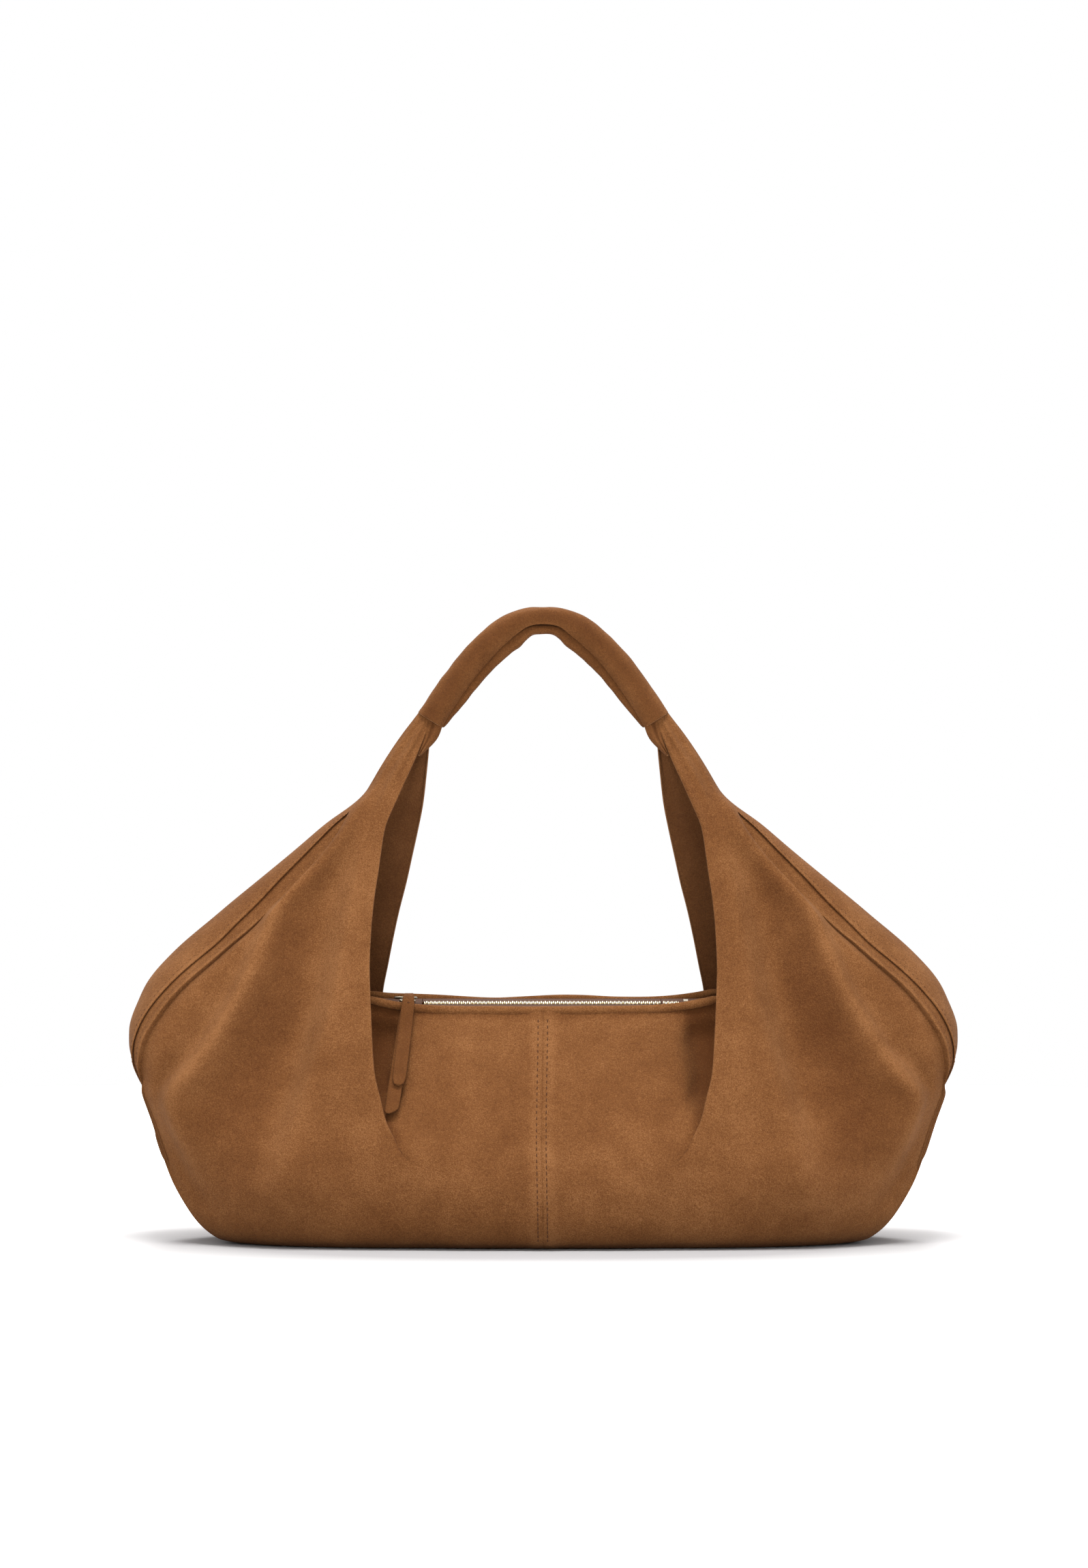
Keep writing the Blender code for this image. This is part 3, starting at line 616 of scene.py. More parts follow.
def horn_part(z, back, left):
    """One row's points and tones of the horn, and its last point tucked under the gusset's band."""
    part = []
    for share in HORN_SHARES:
        point, off = horn_point(z, share, back, left)
        # painted highlight along the free edge, and painted light and shade that follow the leather's
        # unevenness and the drape's folds
        edge_tone = 0.10 * math.exp(-share / 0.02) * rise(44, 84, z)
        part.append((point, edge_tone + 40 * off + painted_fold_light(point.x, point.z)))
    last = part[-1][0]
    if z < NECK_FROM:
        tucked = strip_point(min(last.z, 276 * MM), -0.93, False, -1.6 * MM)
        tucked.z = last.z
    else:
        tucked = last + Vector((-1.2 * MM, 1.2 * MM, 0))
    return part + [(tucked, 0.0)]


def shell_sheet(side, left, face, back):
    """One quarter of the shell: the body, the pleat behind the horn's free edge, and the horn."""
    rows, painted_light_and_tone = [], []
    for h, scale in [*LOW_ROUND, *((h, 1.0) for h in ROW_HEIGHTS)]:
        parts = [part(h * MM, back, left) for part in (body_part, pleat_part, horn_part)]
        row = []
        for point, _ in sum(parts, []):
            if point is not None:
                point = flip(Vector((point.x * scale, point.y * scale, point.z)), left, back)
            row.append(point)
        rows.append(row)
        painted_light_and_tone.append([tone for _, tone in sum(parts, [])])
    outward = Vector((-0.4 if left else 0.4, 1 if back else -1, 0.1))
    sheet = grid_object(f"{face}_shell_{side}", rows, LEATHER, painted_light_and_tone, outward)
    smooth(thicken(sheet, 1.1 * MM))
    put(sheet, None, f"{face}_panel_{side}")
    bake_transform(sheet)


def strip_point(z, across, left, lift):
    """A point of the gusset and its bands. across is -1 at the front panel's seam and 1 at the back one's."""
    size = abs(across)
    under = rise(244, 272, z)
    near, band, far = seam_reach(z) - 2 * MM * under, band_reach(z), outline_reach(z) - lift * 0.6
    band, far = mix(band, near, under), mix(far, near + 0.5 * MM, under)
    depth_near = seam_depth(z) * (1 - 0.35 * under)
    depth_band = depth_near * 0.80
    if size > 0.8:
        t = (size - 0.8) / 0.2
        x, depth = mix(band, near, t), mix(depth_band, depth_near, t)
    else:
        t = size / 0.8
        x, depth = far + (band - far) * t**2.3, depth_band * t
    x += lift * 0.432
    depth += lift * 0.8 * smoothstep(0.1, 0.6, size)
    return Vector((-x if left else x, math.copysign(depth, across), z))


STRIP_HEIGHTS = [h * MM for h in ROW_HEIGHTS if h < 273]  # the gusset ends below the handle


def gusset_bands(side, left):
    """The stitched-down seam allowances along the gusset's two edges."""
    # share across, lift in mm and tone: the tones paint highlights on the rolled edges and shadow lines
    # beside them
    profile = ((1.0, 0.1, 0.0), (1.005, 1.5, 0.34), (0.985, 2.2, 0.30), (0.955, 1.9, 0.0), (0.9, 1.3, -0.08),
               (0.86, 1.0, 0.0), (0.8, 0.9, -0.34))
    for face, sign in FACES:
        rows, painted_light_and_tone = [], []
        for z in STRIP_HEIGHTS:
            width = abs(band_reach(z) - seam_reach(z)) + 0.2 * seam_depth(z)
            over = 2.0 * MM / max(width, 2 * MM) * 0.2
            inwards = Vector((3.0 * MM if left else -3.0 * MM, -sign * 1.7 * MM, 0))
            # painted shade where the band's edges go under
            row, tones = [strip_point(z, sign, left, 0) + inwards], [-0.3]
            for share, lift, tone in (*profile, (0.8 - over, 0.8, -0.4)):
                row.append(strip_point(z, sign * share, left, lift * MM))
                tones.append(tone)
            rows.append(row)
            painted_light_and_tone.append(tones)
        name = f"gusset_band_{face}_{side}"
        band = grid_object(name, rows, LEATHER, painted_light_and_tone, Vector((-1 if left else 1, sign, 0.3)))
        put(smooth(thicken(band, 0.9 * MM)), "shell", name)


def side_gusset(side, left):
    half = [(-0.8, 1.0), (-0.806, 2.3), (-0.785, 3.2), (-0.745, 2.8), (-0.66, 2.3), (-0.5, 2.1), (-0.3, 2.0),
            (-0.12, 2.0)]
    profile = half + [(0.0, 2.0)] + [(-across, lift) for across, lift in reversed(half)]
    rows = []
    for z in STRIP_HEIGHTS:
        uneven = waver(z * 30, 4.2 if left else 8.8, 0.3) * 0.5 * MM
        rows.append([strip_point(z, a, left, lift * MM + (uneven if abs(a) < 0.6 else 0))
                     for a, lift in profile])
    # painted highlight on the raised ridge along each edge
    tones = [0.34 if 0.77 < abs(a) < 0.8 else (0.0 if abs(a) < 0.72 else 0.05) for a, _ in profile]
    name = f"side_gusset_{side}"
    gusset = grid_object(name, rows, LEATHER, [tones] * len(rows), Vector((-1 if left else 1, 0, 0.3)))
    put(smooth(thicken(gusset, 1.0 * MM)), "shell", name)


# along a stitch: place as a share of its length, and radius and height as shares of its own radius
STITCH_RINGS = ((-0.5, 0.25, -0.9), (-0.36, 0.8, -0.1), (0, 1.0, 0.25), (0.36, 0.8, -0.1), (0.5, 0.25, -0.9))


def stitch_row(name, stitches, length, radius, body):
    """A short rounded thread for each (start, end, normal) of the stitches."""
    mesh = bmesh.new()
    for a, b, normal in stitches:
        along = (b - a).normalized()
        side = along.cross(normal).normalized()
        up = side.cross(along).normalized()
        rings = []
        for t, share, height in STITCH_RINGS:
            centre = (a + b) / 2 + along * (t * length) + up * (height * radius)
            size = share * radius
            rings.append([mesh.verts.new(centre + size * (side * math.cos(turn) + up * math.sin(turn)))
                          for turn in around(6)])
        skin(mesh, rings)
    bmesh.ops.recalc_face_normals(mesh, faces=mesh.faces)
    put(mesh_object(name, mesh, THREAD), body)


def centre_stitches():
    """Two rows down each face, one on each side of the middle seam."""
    for face, back in (("front", False), ("back", True)):
        stitches = []
        for offset in (-3.0 * MM, 2.5 * MM):
            z = 5 * MM
            while z < CENTRE_TOP - 3 * MM:
                ends = []
                for height in (z, z + 2.1 * MM):
                    x = offset + seam_line(height)
                    depth = body_surface(abs(offset), height, back) + 0.12 * MM
                    lift = rise_at(0, back) * smoothstep(85 * MM, CENTRE_TOP, height)
                    ends.append(Vector((x if not back else -x, depth if back else -depth, height + lift)))
                slope = (body_surface(3 * MM, z + 2 * MM, back) - body_surface(3 * MM, z, back)) / (2 * MM)
                stitches.append((*ends, Vector((0, 1 if back else -1, -slope)).normalized()))
                z += 3.4 * MM * (0.75 if z < 20 * MM else 1)
        stitch_row(f"centre_stitches_{face}", stitches, 2.3 * MM, 0.30 * MM, "shell")


def band_stitches(side, left):
    """Two rows along each band: one through the band, and one through the gusset beside it."""
    for face, sign in FACES:
        stitches = []
        for share, lift in ((0.918, 1.42 * MM), (0.725, 2.66 * MM)):
            z = 12 * MM
            while z < 258 * MM:
                start = strip_point(z, sign * share, left, lift)
                step = (strip_point(z + 1.0 * MM, sign * share, left, lift) - start).normalized()
                inner = strip_point(z, sign * (share + 0.02), left, lift)
                outer = strip_point(z, sign * (share - 0.02), left, lift)
                normal = step.cross(outer - inner).normalized()
                if normal.dot(Vector((-1 if left else 1, sign, 0.2))) < 0:
                    normal.negate()
                stitches.append((start, start + step * 1.6 * MM, normal))
                z += max(3.3 * MM * step.z, 1.5 * MM)
        stitch_row(f"band_stitches_{face}_{side}", stitches, 1.4 * MM, 0.15 * MM, "shell")


def bottom_panel():
    """The base: a flat sheet with its edge turned up into the seam."""
    rows = []
    for scale, z in ((0.004, 0.9), (0.35, 0.75), (0.7, 0.6), (0.9, 0.5), (0.965, 0.9)):
        row = []
        for angle in around(96):
            c, s = math.cos(angle), math.sin(angle)
            x = 168 * MM * math.copysign(abs(c) ** 0.62, c)
            y = 48.5 * MM * math.copysign(abs(s) ** 0.8, s)
            row.append(Vector((x * scale, y * scale, (z + waver(x * 18, y * 18, 6.6) * 0.25) * MM)))
        rows.append(row)
    painted_light_and_tone = [[-0.1] * len(row) for row in rows]
    panel = grid_object("base_panel", rows, LEATHER, painted_light_and_tone, Vector((0, 0, -1)), close=True)
    put(thicken(panel, 1.0 * MM), "shell", "base_panel")


# Zip

ZIP_FRAME = Matrix.Translation((0, 0, 139 * MM)) @ Matrix.Rotation(math.radians(9), 4, "X")
LIP_LEFT, LIP_RIGHT, TEETH_RIGHT = -71 * MM, 69 * MM, 80 * MM
SLIDER_X = -79 * MM
TOOTH_PITCH = 2.4 * MM
ROLL_REACH, ROLL_RADIUS = 104 * MM, 2.5 * MM
STRAP_REACH = 72 * MM  # how far from the middle seam the pull strap lies on the body


def rolled_edges():
    """A slightly uneven roll of suede along each side of the zip, thinner at its ends."""
    for face, sign in FACES:
        back = sign > 0
        points = []
        for i in range(-40, 41):
            x = ROLL_REACH * i / 40
            depth = body_surface(12 * MM, CENTRE_TOP, back) - 0.9 * MM
            z = body_top(back) + rise_at(x, back) + 1.8 * MM
            dip = waver(x * 16, sign * 3.0, 0.4) * 0.4 * MM
            points.append(Vector((x, sign * depth, z + dip)))
        rows = []
        for i, point in enumerate(points):
            before, after = beside(points, i)
            along = (after - before).normalized()
            across = along.cross(Vector((0, 0, 1))).normalized()
            up = across.cross(along).normalized()
            radius = ROLL_RADIUS * min(1.0, 0.55 + 0.25 * min(i, len(points) - 1 - i))
            radius *= 1 + 0.10 * waver(point.x * 60, point.z * 60, 2.2 + point.y * 30)
            rows.append([point + across * (radius * 0.82 * math.cos(angle)) + up * (radius * math.sin(angle))
                         for angle in around(18)])
        name = f"zip_edge_{face}"
        roll = grid_object(name, rows, (SUEDE,), [[0.06] * 18] * len(rows), close=True, fill_below=math.inf)
        put(smooth(roll), "shell", name)


def tooth(mesh, centre, sign):
    """One zip tooth: a rounded block that narrows, with a domed head over the middle line."""
    sections = ((-2.25, 0.62, 0.55), (-2.05, 0.95, 0.9), (-1.1, 0.98, 0.98), (-0.4, 0.66, 0.92),
                (0.15, 0.60, 0.90), (0.55, 0.86, 0.98), (0.92, 0.80, 0.85), (1.12, 0.42, 0.45))
    rings = []
    for reach, width, height in sections:
        ring = []
        for i in range(8):
            angle = math.pi * (i + 0.5) / 4
            c, s = math.cos(angle), math.sin(angle)
            x = math.copysign(abs(c) ** 0.7, c) * width * 0.64 * MM
            z = math.copysign(abs(s) ** 0.7, s) * height * 1.25 * MM
            ring.append(mesh.verts.new(centre + Vector((x, -sign * reach * 0.88 * MM, z))))
        rings.append(ring)
    skin(mesh, rings)


def tooth_row(name, sign, low, high, body, *nodes):
    """One side's teeth between two places along the zip. The two sides' teeth alternate."""
    mesh = bmesh.new()
    x = (math.ceil(low / TOOTH_PITCH) + (0 if sign < 0 else 0.5)) * TOOTH_PITCH
    while x < high - 0.6 * MM:
        if x > low + 0.6 * MM:
            tooth(mesh, Vector((x, sign * 0.35 * MM, 0)), sign)
        x += TOOTH_PITCH
    bmesh.ops.recalc_face_normals(mesh, faces=mesh.faces)
    bmesh.ops.transform(mesh, matrix=ZIP_FRAME, verts=mesh.verts)
    put(mesh_object(name, mesh, TEETH), body, *nodes, slot="light_brass")


def plate(name, outline, low, high, matrix, bevel, segments=3):
    """A metal solid from an outline in XY between two heights, in millimetres, with its edges rounded."""
    mesh = bmesh.new()
    skin(mesh, [[mesh.verts.new((x * MM, y * MM, z * MM)) for x, y in outline] for z in (low, high)])
    bmesh.ops.recalc_face_normals(mesh, faces=mesh.faces)
    bmesh.ops.transform(mesh, matrix=matrix, verts=mesh.verts)
    obj = mesh_object(name, mesh, ANTIQUE, flat=True)
    modifier = obj.modifiers.new("edges", "BEVEL")
    modifier.width = bevel
    modifier.segments = segments
    modifier.limit_method = "ANGLE"
    return obj


def zip_slider():
    at_slider = ZIP_FRAME @ Matrix.Translation((SLIDER_X - 0.8 * MM, 0, 0))
    half = [(-4.7, 2.6), (-3.6, 3.4), (1.2, 3.9), (3.6, 4.0), (4.7, 3.4), (4.9, 1.6), (3.6, 0.5)]
    outline = [(x, -y) for x, y in half] + half[::-1]
    top = plate("zip_slider_top", outline, 1.5, 2.7, at_slider, 0.35 * MM)
    put(top, "slider", "zip_slider", slot="antique_brass")
    under = plate("zip_slider_under", outline, -2.7, -1.5, at_slider, 0.35 * MM)
    put(under, "slider", slot="antique_brass")
    edge = [(-4.4, 2.75), (-3.4, 3.35), (1.2, 3.8), (3.4, 3.85), (3.4, 3.15), (1.2, 3.1), (-3.4, 2.8),
            (-4.4, 2.4)]
    for face, sign in FACES:
        outline = [(x, sign * y) for x, y in edge]
        flange = plate(f"zip_slider_{face}_flange", outline, 0.75, 1.6, at_slider, 0.15 * MM, 2)
        put(flange, "slider", slot="antique_brass")

    data = bpy.data.curves.new("slider_bail", "CURVE")
    data.dimensions = "3D"
    data.bevel_depth = 0.65 * MM
    data.bevel_resolution = 4
    data.use_fill_caps = True
    bail = data.splines.new("POLY")
    bail.points.add(16)
    for i, target in enumerate(bail.points):
        angle = math.pi * (1 - i / 16)
        reach = 3.4 * math.copysign(abs(math.cos(angle)) ** 0.75, math.cos(angle))
        target.co = (*(at_slider @ Vector((0, reach * MM, (2.5 + 3.1 * math.sin(angle) ** 0.8) * MM))), 1)
    put(new_object("slider_bail", data, ANTIQUE), "slider", slot="antique_brass")


PULL_PIVOT = ZIP_FRAME @ Vector((SLIDER_X, 0, 3.9 * MM))  # where the ring goes through the bail
PULL_EYE = PULL_PIVOT - Vector((0, 13 * MM, 0))  # where the strap hangs from the ring


def pull_ring():
    centre = PULL_PIVOT - Vector((1.6 * MM, 6.5 * MM, 0))
    major, minor = 6.3 * MM, 0.55 * MM
    rows = []
    for angle in around(64):
        out = Vector((math.cos(angle), math.sin(angle), 0))
        rows.append([centre + out * (major + minor * math.cos(a)) + Vector((0, 0, minor * math.sin(a)))
                     for a in around(14)])
    ring = grid_object("pull_ring", rows, (ANTIQUE,), close=True, loop=True)
    put(ring, "ring", "pull_ring", slot="antique_brass")


def pull_path():
    """The strap's middle line as (y, z, half width): up behind, through the ring and down in front.

    The second result is how many of the points are on the hidden part behind."""
    hidden = []
    for height in (77.5, 82, 88, 95, 103, 112, 121, 129, 133.5):
        z = height * MM
        hidden.append((-body_surface(STRAP_REACH, min(z, CENTRE_TOP), False) - 3.2 * MM, z, 4.1 * MM))
    hidden += [(-21.0 * MM, 138.6 * MM, 3.4 * MM), (-18.4 * MM, 141.4 * MM, 2.9 * MM)]
    loop = []
    for degrees in range(-105, 106, 21):
        angle = math.radians(degrees)
        reach = 2.15 * MM + (0.8 * MM if abs(degrees) < 90 else 0)
        loop.append((PULL_EYE.y + reach * math.cos(angle), PULL_EYE.z + 2.3 * MM * math.sin(angle), 2.7 * MM))
    front = [(-18.6 * MM, 144.9 * MM, 3.2 * MM), (-22.4 * MM, 142.0 * MM, 3.6 * MM),
             (-24.4 * MM, 137.5 * MM, 3.8 * MM)]
    front += [(y - 2.1 * MM, z, 3.95 * MM) for y, z, _ in reversed(hidden[:8]) if z > 96 * MM]
    end = 93.5 * MM
    front.append((-body_surface(STRAP_REACH, end, False) - 6.3 * MM, end, 3.9 * MM))
    return hidden + loop + front, len(hidden)


def pull_strap():
    path, hidden = pull_path()
    lean = math.tan(math.radians(6.2))
    thin = 0.72 * MM
    section = ((-1, -1), (-0.93, -1.25), (0, -1.1), (0.93, -1.25), (1, -1), (1, 1), (0.93, 1.25), (0, 1.1),
               (-0.93, 1.25), (-1, 1))
    rows = []
    for i, (y, z, half) in enumerate(path):
        before, after = beside(path, i)
        along = Vector((0, after[0] - before[0], after[1] - before[1])).normalized()
        normal = Vector((1, 0, 0)).cross(along).normalized() * thin
        drop = max(PULL_EYE.z - z, 0)
        middle = PULL_EYE.x + 0.5 * MM - drop * (lean + (0.035 if i < hidden else 0))
        row = []
        for side, face in section:
            slanted = 3.2 * MM if i == 0 and side > 0.5 else 0  # the hidden end is cut aslant
            row.append(Vector((middle + side * half, y, z + slanted)) + normal * face)
        rows.append(row)
    painted_light_and_tone = [[0.05] * len(section)] * len(rows)
    strap = grid_object("pull_tab", rows, (SUEDE_HANDLE, CUT_EDGE), painted_light_and_tone, close=True, fill_below=math.inf)
    put(smooth(strap), "pull", "pull_tab")
    left, right = (Vector((PULL_EYE.x + x * MM, -23.7 * MM, 141.0 * MM)) for x in (-0.3, 1.2))
    stitch_row("pull_stitch", [(left, right, Vector((0, -0.9, 0.3)))], 1.6 * MM, 0.3 * MM, "pull")


def make_zip():
    rolled_edges()
    outline = [(-1.0, -1.5), (1.0, -1.5), (1.2, 0), (1.0, 1.5), (-1.0, 1.5), (-1.2, 0)]
    at_end = ZIP_FRAME @ Matrix.Translation((-85.6 * MM, 0, 0))
    stop = plate("zip_top_stop", outline, -1.1, 1.1, at_end, 0.3 * MM)
    put(stop, "shell", "zip_top_stop", slot="light_brass")
    for face, sign in FACES:
        tooth_row(f"zip_teeth_{face}", sign, LIP_LEFT, LIP_RIGHT, f"{face}_lip", f"zip_teeth_{face}")
        tooth_row(f"zip_teeth_end_{face}", sign, LIP_RIGHT, TEETH_RIGHT, "shell")
    zip_slider()
    pull_ring()
    pull_strap()


# Handle

def handle_line(count=97):
    """Even points along the handle's middle line, left to right."""
    half = [(66.2, 305.2), (59.6, 315.6), (51.4, 327.4), (42.6, 339.0), (33.0, 349.4), (21.8, 358.4),
            (10.6, 363.6), (0, 364.6)]
    knots = [Vector((x * MM, 0, z * MM)) for x, z in [(-x, z) for x, z in half] + half[-2::-1]]
    dense = []
    for i in range(len(knots) - 1):
        p1, p2 = knots[i], knots[i + 1]
        p0, p3 = beside(knots, i)[0], beside(knots, i + 1)[1]
        for k in range(16):
            dense.append(hermite(k / 16, p1, (p2 - p0) / 2, p2, (p3 - p1) / 2))
    dense.append(knots[-1])
    lengths = [0.0]
    for a, b in zip(dense, dense[1:]):
        lengths.append(lengths[-1] + (b - a).length)
    points = []
    for i in range(count):
        target = lengths[-1] * i / (count - 1)
        j = min(max(k for k in range(len(lengths)) if lengths[k] <= target), len(dense) - 2)
        t = (target - lengths[j]) / (lengths[j + 1] - lengths[j])
        points.append(dense[j].lerp(dense[j + 1], t))
    return points


def handle_frames():
    """Points along the handle with the direction away from the bag and the share of its length."""
    line = handle_line()
    frames = []
    for i, point in enumerate(line):
        before, after = beside(line, i)
        along = (after - before).normalized()
        frames.append((point, Vector((-along.z, 0, along.x)), i / (len(line) - 1)))
    return frames


def along_handle(*knots):
    """A smooth function of the distance from the handle's middle, as a share of half its length."""
    curve = curve_through(*knots)
    return lambda t: curve(abs(2 * t - 1) * MM)


sleeve_radius = along_handle((0, 7.3), (0.12, 7.5), (0.3, 8.1), (0.6, 8.3), (1, 8.4))
# half the angle of the sleeve's opening, with its degrees given as millimetres
sleeve_opening = along_handle((0, 62), (0.1, 58), (0.24, 36), (0.45, 24), (1, 22))
underlay_drop = along_handle((0, 8.7), (0.06, 8.8), (0.13, 10.2), (0.24, 12.9), (0.4, 12.8), (0.6, 12.1),
                             (0.8, 11.2), (0.92, 10.0), (1, 8.7))
underlay_half = along_handle((0, 5.4), (0.12, 5.0), (0.28, 3.8), (0.5, 3.2), (1, 2.8))


def handle_sleeve():
    """The padded sleeve, open along its lower side, with turned edges and wrinkles, a painted highlight on
    its top and painted shade on its front and back.
    """
    turns = 44
    rows, painted_light_and_tone = [], []
    for point, away, t in handle_frames():
        row, tones = [], []
        slot = math.radians(sleeve_opening(t) / MM)
        end = min(t, 1 - t)
        for i in range(turns + 1):
            angle = -math.pi + slot + (2 * math.pi - 2 * slot) * i / turns
            c, s = math.cos(angle), math.sin(angle)
            wrinkle = waver(t * 9, s * 1.2, c * 1.2) * 0.5 * MM
            wrinkle += waver(t * 34, s * 1.6, c * 1.6 + 4) * 0.24 * MM
            edge = min(i, turns - i)
            turned = (-0.4 * MM, 0.35 * MM)[edge] if edge < 2 else 0
            radius = sleeve_radius(t) + wrinkle + 0.5 * MM * math.exp(-end / 0.02) + turned
            row.append(point + radius * (away * c + Vector((0, s, 0))))
            # painted light and shade round the sleeve: a highlight on the top, shade on the front and back, a
            # lighter band lower down each side; the turned edges and the ends are painted lighter
            crown = 0.30 * smoothstep(0.5, 1.0, c) - 0.34 * bell(c - 0.25, 0.4) + 0.16 * bell(c + 0.55, 0.3)
            tones.append(0.34 * math.exp(-edge / 1.1) + 0.22 * math.exp(-end / 0.006) + crown)
        rows.append(row)
        painted_light_and_tone.append(tones)
    sleeve = grid_object("handle_sleeve", rows, HANDLE_LEATHER, painted_light_and_tone, Vector((0, 0, 1)))
    put(smooth(thicken(sleeve, 1.2 * MM)), "handle", "handle_sleeve")


def handle_underlay():
    """The strap sewn below the handle, rounded underneath and running up into the sleeve."""
    bottom = 6.2  # how far its two upper edges are above its lowest line, in mm, before they reach up
    half_section = ((0.8, -bottom), (0.98, -3.6), (1.0, -1.7), (0.88, -0.6), (0.45, -0.05))
    section = [(-across, up) for across, up in half_section] + [(0, 0)] + list(reversed(half_section))
    rows = []
    for point, away, t in handle_frames():
        drop, half = underlay_drop(t), underlay_half(t)
        row = []
        for across, up in section:
            uneven = waver(t * 30, across, up * 0.2) * 0.35 * MM
            reach = up * MM if up > -3 else (up / -bottom) * (2.6 * MM - drop)
            row.append(point - away * (drop + reach + uneven) + Vector((0, across * half, 0)))
        rows.append(row)
    # painted shade on its rounded underside, a little lighter above
    painted_light_and_tone = [[-0.12 if up < -2 else 0.06 for _, up in section]] * len(rows)
    underlay = grid_object("handle_underlay", rows, (SUEDE_HANDLE,), painted_light_and_tone, close=True, fill_below=math.inf)
    put(smooth(underlay), "handle", "handle_underlay")


def handle_core():
    rows = []
    for point, away, t in handle_frames()[2:-2]:
        size = sleeve_radius(t) * (1 + 0.05 * waver(t * 16, 0, 7.7))
        up, across = away * 0.46 * size, Vector((0, 0.68 * size, 0))
        rows.append([point + away * 1.3 * MM + up * math.sin(a) + across * math.cos(a) for a in around(20)])
    core = grid_object("handle_core", rows, (FOAM,), close=True, fill_below=math.inf)
    put(core, "handle", "handle_core", slot="foam_core")


def gather(side, sign):
    """The back horn's front edge, rolled forward where it goes into the handle's sleeve."""
    # middle line, half width, and how far forward, from inside the sleeve down to the tip
    spine = ((62.2, 309.5, 5.0, 2.6), (63.6, 304.4, 5.2, 4.2), (65.0, 299.4, 5.2, 5.0),
             (66.0, 295.6, 4.4, 5.4), (68.2, 291.8, 3.2, 6.2), (70.6, 288.2, 2.0, 7.2),
             (73.0, 284.6, 1.0, 8.4))
    rows, painted_light_and_tone = [], []
    for i, (x, z, half, depth) in enumerate(spine):
        before, after = beside(spine, i)
        along = Vector((after[0] - before[0], 0, after[1] - before[1])).normalized()
        across = Vector((along.z, 0, -along.x))
        row, tones = [], []
        for j in range(15):
            u = -1 + 2 * j / 14
            crown = 2.6 * (1 - u * u) - 1.5 * bell(u - 0.1, 0.16)
            place = Vector((x, 0, z)) - across * (u * half)
            row.append(Vector((sign * place.x * MM, -(depth + crown) * MM, place.z * MM)))
            # painted shade along the middle crease; lighter overall and lighter still at the edges
            tones.append(0.12 - 0.35 * bell(u - 0.1, 0.12) + 0.2 * (abs(u) > 0.9))
        rows.append(row)
        painted_light_and_tone.append(tones)
    fold = grid_object(f"gather_fold_{side}", rows, HANDLE_LEATHER, painted_light_and_tone, Vector((0, -1, 0)))
    smooth(thicken(fold, 1.2 * MM), 2)
    put(fold, None, f"handle_anchor_{side}", slot="suede_inside")
    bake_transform(fold)


# Inside

lining_length = curve_through(
    (5.2, 166), (11.8, 182), (28.2, 199), (56, 211), (86, 215), (111, 214), (130, 212)
)
lining_depth = curve_through((5.2, 45), (11.8, 56), (28.2, 60), (56, 55), (86, 42), (111, 26.5), (130, 13.5))


def lining_point(z, angle, inset):
    """A point of the lining, which is pinched behind each horn's free edge."""
    uneven = waver(math.cos(angle) * 2.4, math.sin(angle) * 2.4, z * 22) * 1.2 * MM
    x = (lining_length(z) - inset + uneven) * math.cos(angle)
    y = (lining_depth(z) - inset + uneven) * math.sin(angle)
    pinch = 13 * MM * rise(62, 100, z) * bell(abs(x) - 96 * MM, 19 * MM)
    return Vector((x, math.copysign(max(abs(y) - pinch, 0.25 * abs(y)), y), z))


def lining_pouch():
    heights = [h * MM for h in (5.4, 8, 12, 18, 26, 34, 43, 52, 62, 72, 82, 92, 102, 112, 121, 130)]
    rows = [[lining_point(z, angle, 0.4 * MM) for angle in around(120)] for z in heights]
    floor = []
    for scale in (0.02, 0.35, 0.7, 0.9):
        floor.append([Vector((p.x * scale, p.y * scale, 5.2 * MM)) for p in rows[0]])
    pouch = grid_object("lining_pouch", floor + rows, (LINING,), close=True, fill_below=6 * MM)
    put(thicken(pouch, 0.8 * MM), "shell", "lining_pouch", slot="cotton_cloth")


def inner_pocket():
    """A slip pocket on the back wall, with a thicker hem."""
    rows = []
    for h in (34, 40, 50, 60, 70, 80, 90, 97, 99, 100):
        inset = (3.4 + 0.7 * (h > 96)) * MM
        rows.append([lining_point(h * MM, math.radians(67.5 + 45 * i / 24), inset) for i in range(25)])
    pocket = grid_object("inner_pocket", rows, (LINING,), None, Vector((0, -1, 0)))
    put(thicken(pocket, 0.9 * MM), "shell", "inner_pocket", slot="cotton_cloth")


def wing_floor(side, sign):
    """The cloth beside the zip's end, sagging into the wing."""
    rows = []
    for i in range(15):
        x = mix(112, 225, i / 14)
        half = min(31, (234 - x) * 1.7, (x - 108) * 8)
        row = []
        for u in (-1 + j / 4 for j in range(9)):
            sag = 1.2 * u * u - 2.6 * (1 - u * u) * math.sin(math.pi * i / 14)
            row.append(Vector((sign * x * MM, u * half * MM, (137 + sag) * MM)))
        rows.append(row)
    name = f"wing_floor_{side}"
    floor = grid_object(name, rows, (SUEDE_INSIDE,), None, Vector((0, 0, 1)))
    put(smooth(thicken(floor, 1.0 * MM)), "shell", name, slot="cotton_cloth")


def repaint_kept_nodes():
    paint = {
        "base_board": BOARD, "zip_tape_front": TAPE, "zip_tape_back": TAPE, "zip_end_left": TAPE,
        "zip_end_right": TAPE, "zip_bottom_stop": ANTIQUE,
    }
    for name, material in paint.items():
        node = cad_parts[name]
        for slot in node.material_slots:
            slot.material = material


# Studio

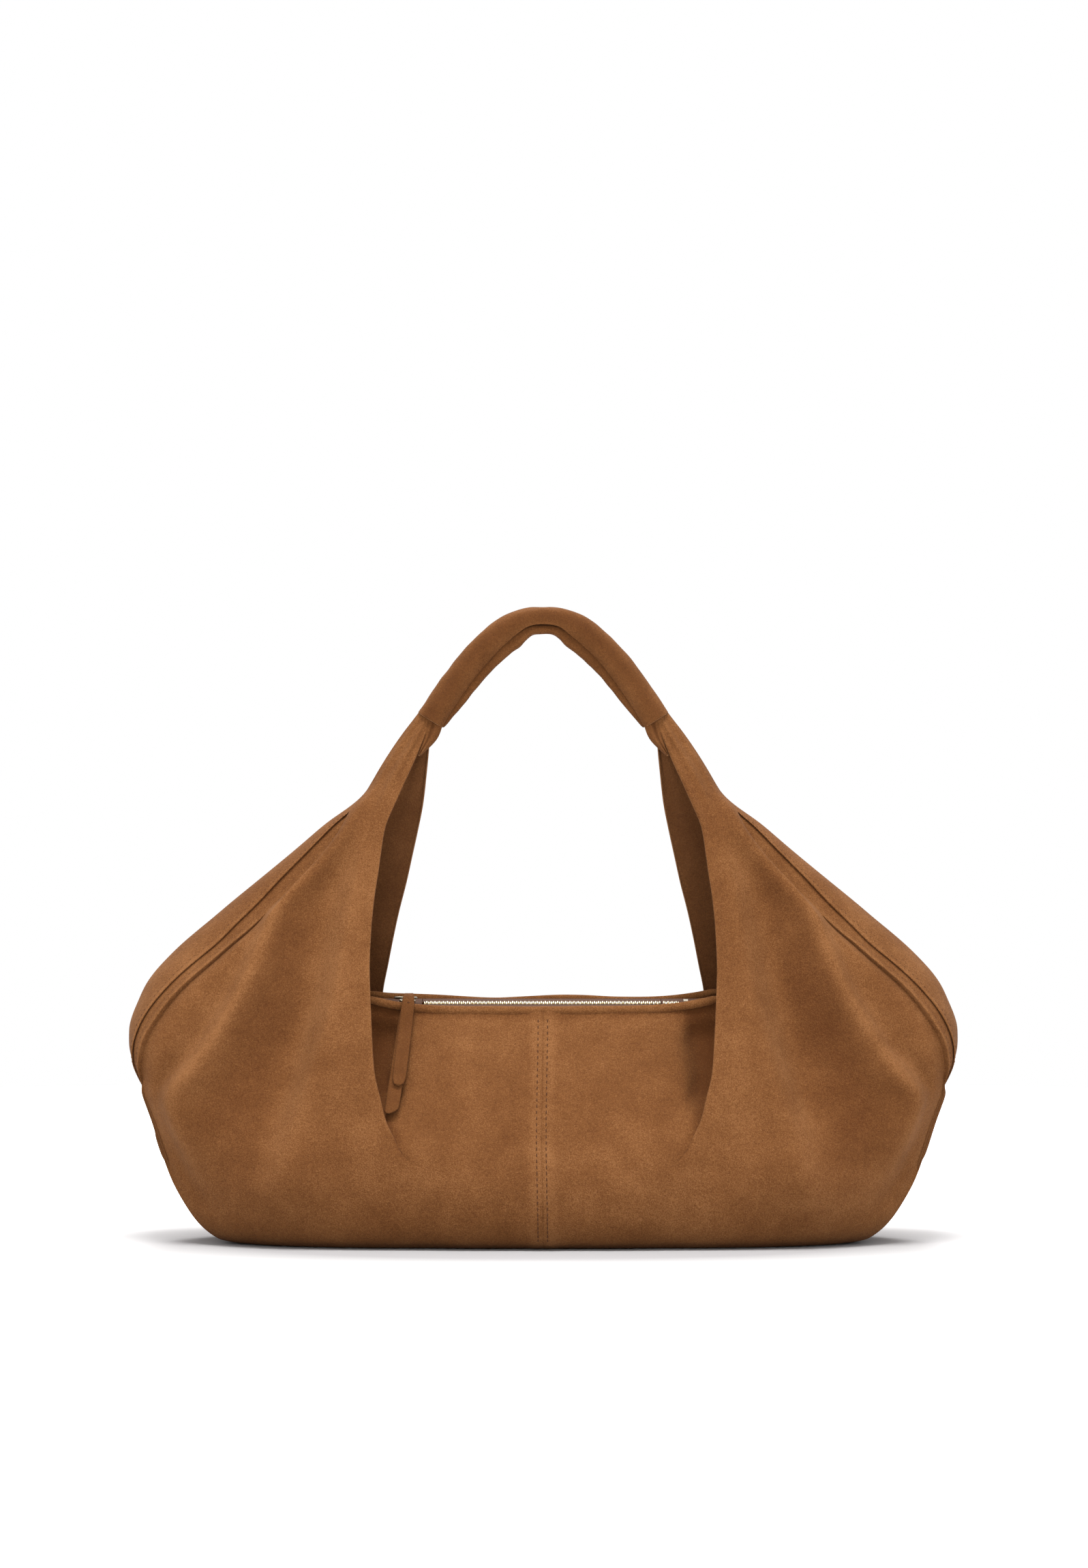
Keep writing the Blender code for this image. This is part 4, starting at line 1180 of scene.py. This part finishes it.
def studio_floor():
    """White paper, with a soft grey patch under the bag for the shadow that the lights leave out."""
    mesh = bmesh.new()
    bmesh.ops.create_circle(mesh, cap_ends=True, segments=96, radius=FLOOR_RADIUS)
    paper, tree, shader, place = new_material("studio_floor")
    squeeze = add_node(tree, "VectorMath", Vector=place)
    squeeze.operation = "MULTIPLY"
    squeeze.inputs[1].default_value = (1 / 0.190, 1 / 0.100, 1)  # the patch's half length and half width
    reach = add_node(tree, "VectorMath", Vector=squeeze.outputs[0])
    reach.operation = "LENGTH"
    fibres = ramp(tree, add_noise(tree, place, 900, 2), 0.3, 0.7, -0.02, 0.02)
    tone = maths(tree, "ADD", ramp(tree, reach.outputs["Value"], 1.05, 2.1), fibres)
    colour = blend_colours(tree, tone, (0.345, 0.337, 0.340), (0.85, 0.85, 0.85))
    set_inputs(tree, shader, Base_Color=colour, Roughness=0.9, Specular_IOR_Level=0.0)
    mesh_object("floor", mesh, paper, flat=True)


def aimed(name, data, place, aim):
    """A light or camera at a place, turned towards its aim."""
    obj = new_object(name, data)
    obj.location = place
    obj.rotation_euler = (Vector(aim) - Vector(place)).to_track_quat("-Z", "Y").to_euler()
    return obj


def make_studio():
    studio_floor()
    scene = bpy.context.scene
    world = bpy.data.worlds.new("studio")
    scene.world = world
    world.use_nodes = True
    set_inputs(world.node_tree, world.node_tree.nodes["Background"], Color=(1, 1, 1), Strength=1.0)
    scene.view_settings.view_transform = "Standard"
    for name, place, aim, size, energy in (
        ("key", (0.0, -0.75, 2.5), (0, 0, 0.12), 1.0, 84),
        ("back", (0.0, 1.7, 2.1), (0, 0, 0.1), 1.4, 70),
        ("left", (-2.2, -0.9, 1.7), (0, 0, 0.15), 1.2, 9),
        ("right", (2.2, -0.9, 1.7), (0, 0, 0.15), 1.2, 9),
        ("fill", (0.0, -2.8, 0.55), (0, 0, 0.12), 1.5, 30),
    ):
        data = bpy.data.lights.new(name, "AREA")
        data.shape = "SQUARE"
        data.size = size
        data.energy = energy
        aimed(name, data, place, aim)
    data = bpy.data.cameras.new("camera")
    data.sensor_width = SENSOR_WIDTH
    data.lens = SENSOR_WIDTH * -EYE[1] / FRAME_HEIGHT
    data.clip_end = 50
    scene.camera = aimed("camera", data, EYE, (EYE[0], 0, PICTURE_CENTRE))


make_studio()
for side, sign in SIDES:
    left = sign < 0
    for face, back in (("front", False), ("back", True)):
        shell_sheet(side, left, face, back)
    gusset_bands(side, left)
    side_gusset(side, left)
    band_stitches(side, left)
centre_stitches()
bottom_panel()
make_zip()
handle_sleeve()
handle_underlay()
handle_core()
for side, sign in SIDES:
    gather(side, sign)
lining_pouch()
inner_pocket()
for side, sign in SIDES:
    wing_floor(side, sign)
repaint_kept_nodes()
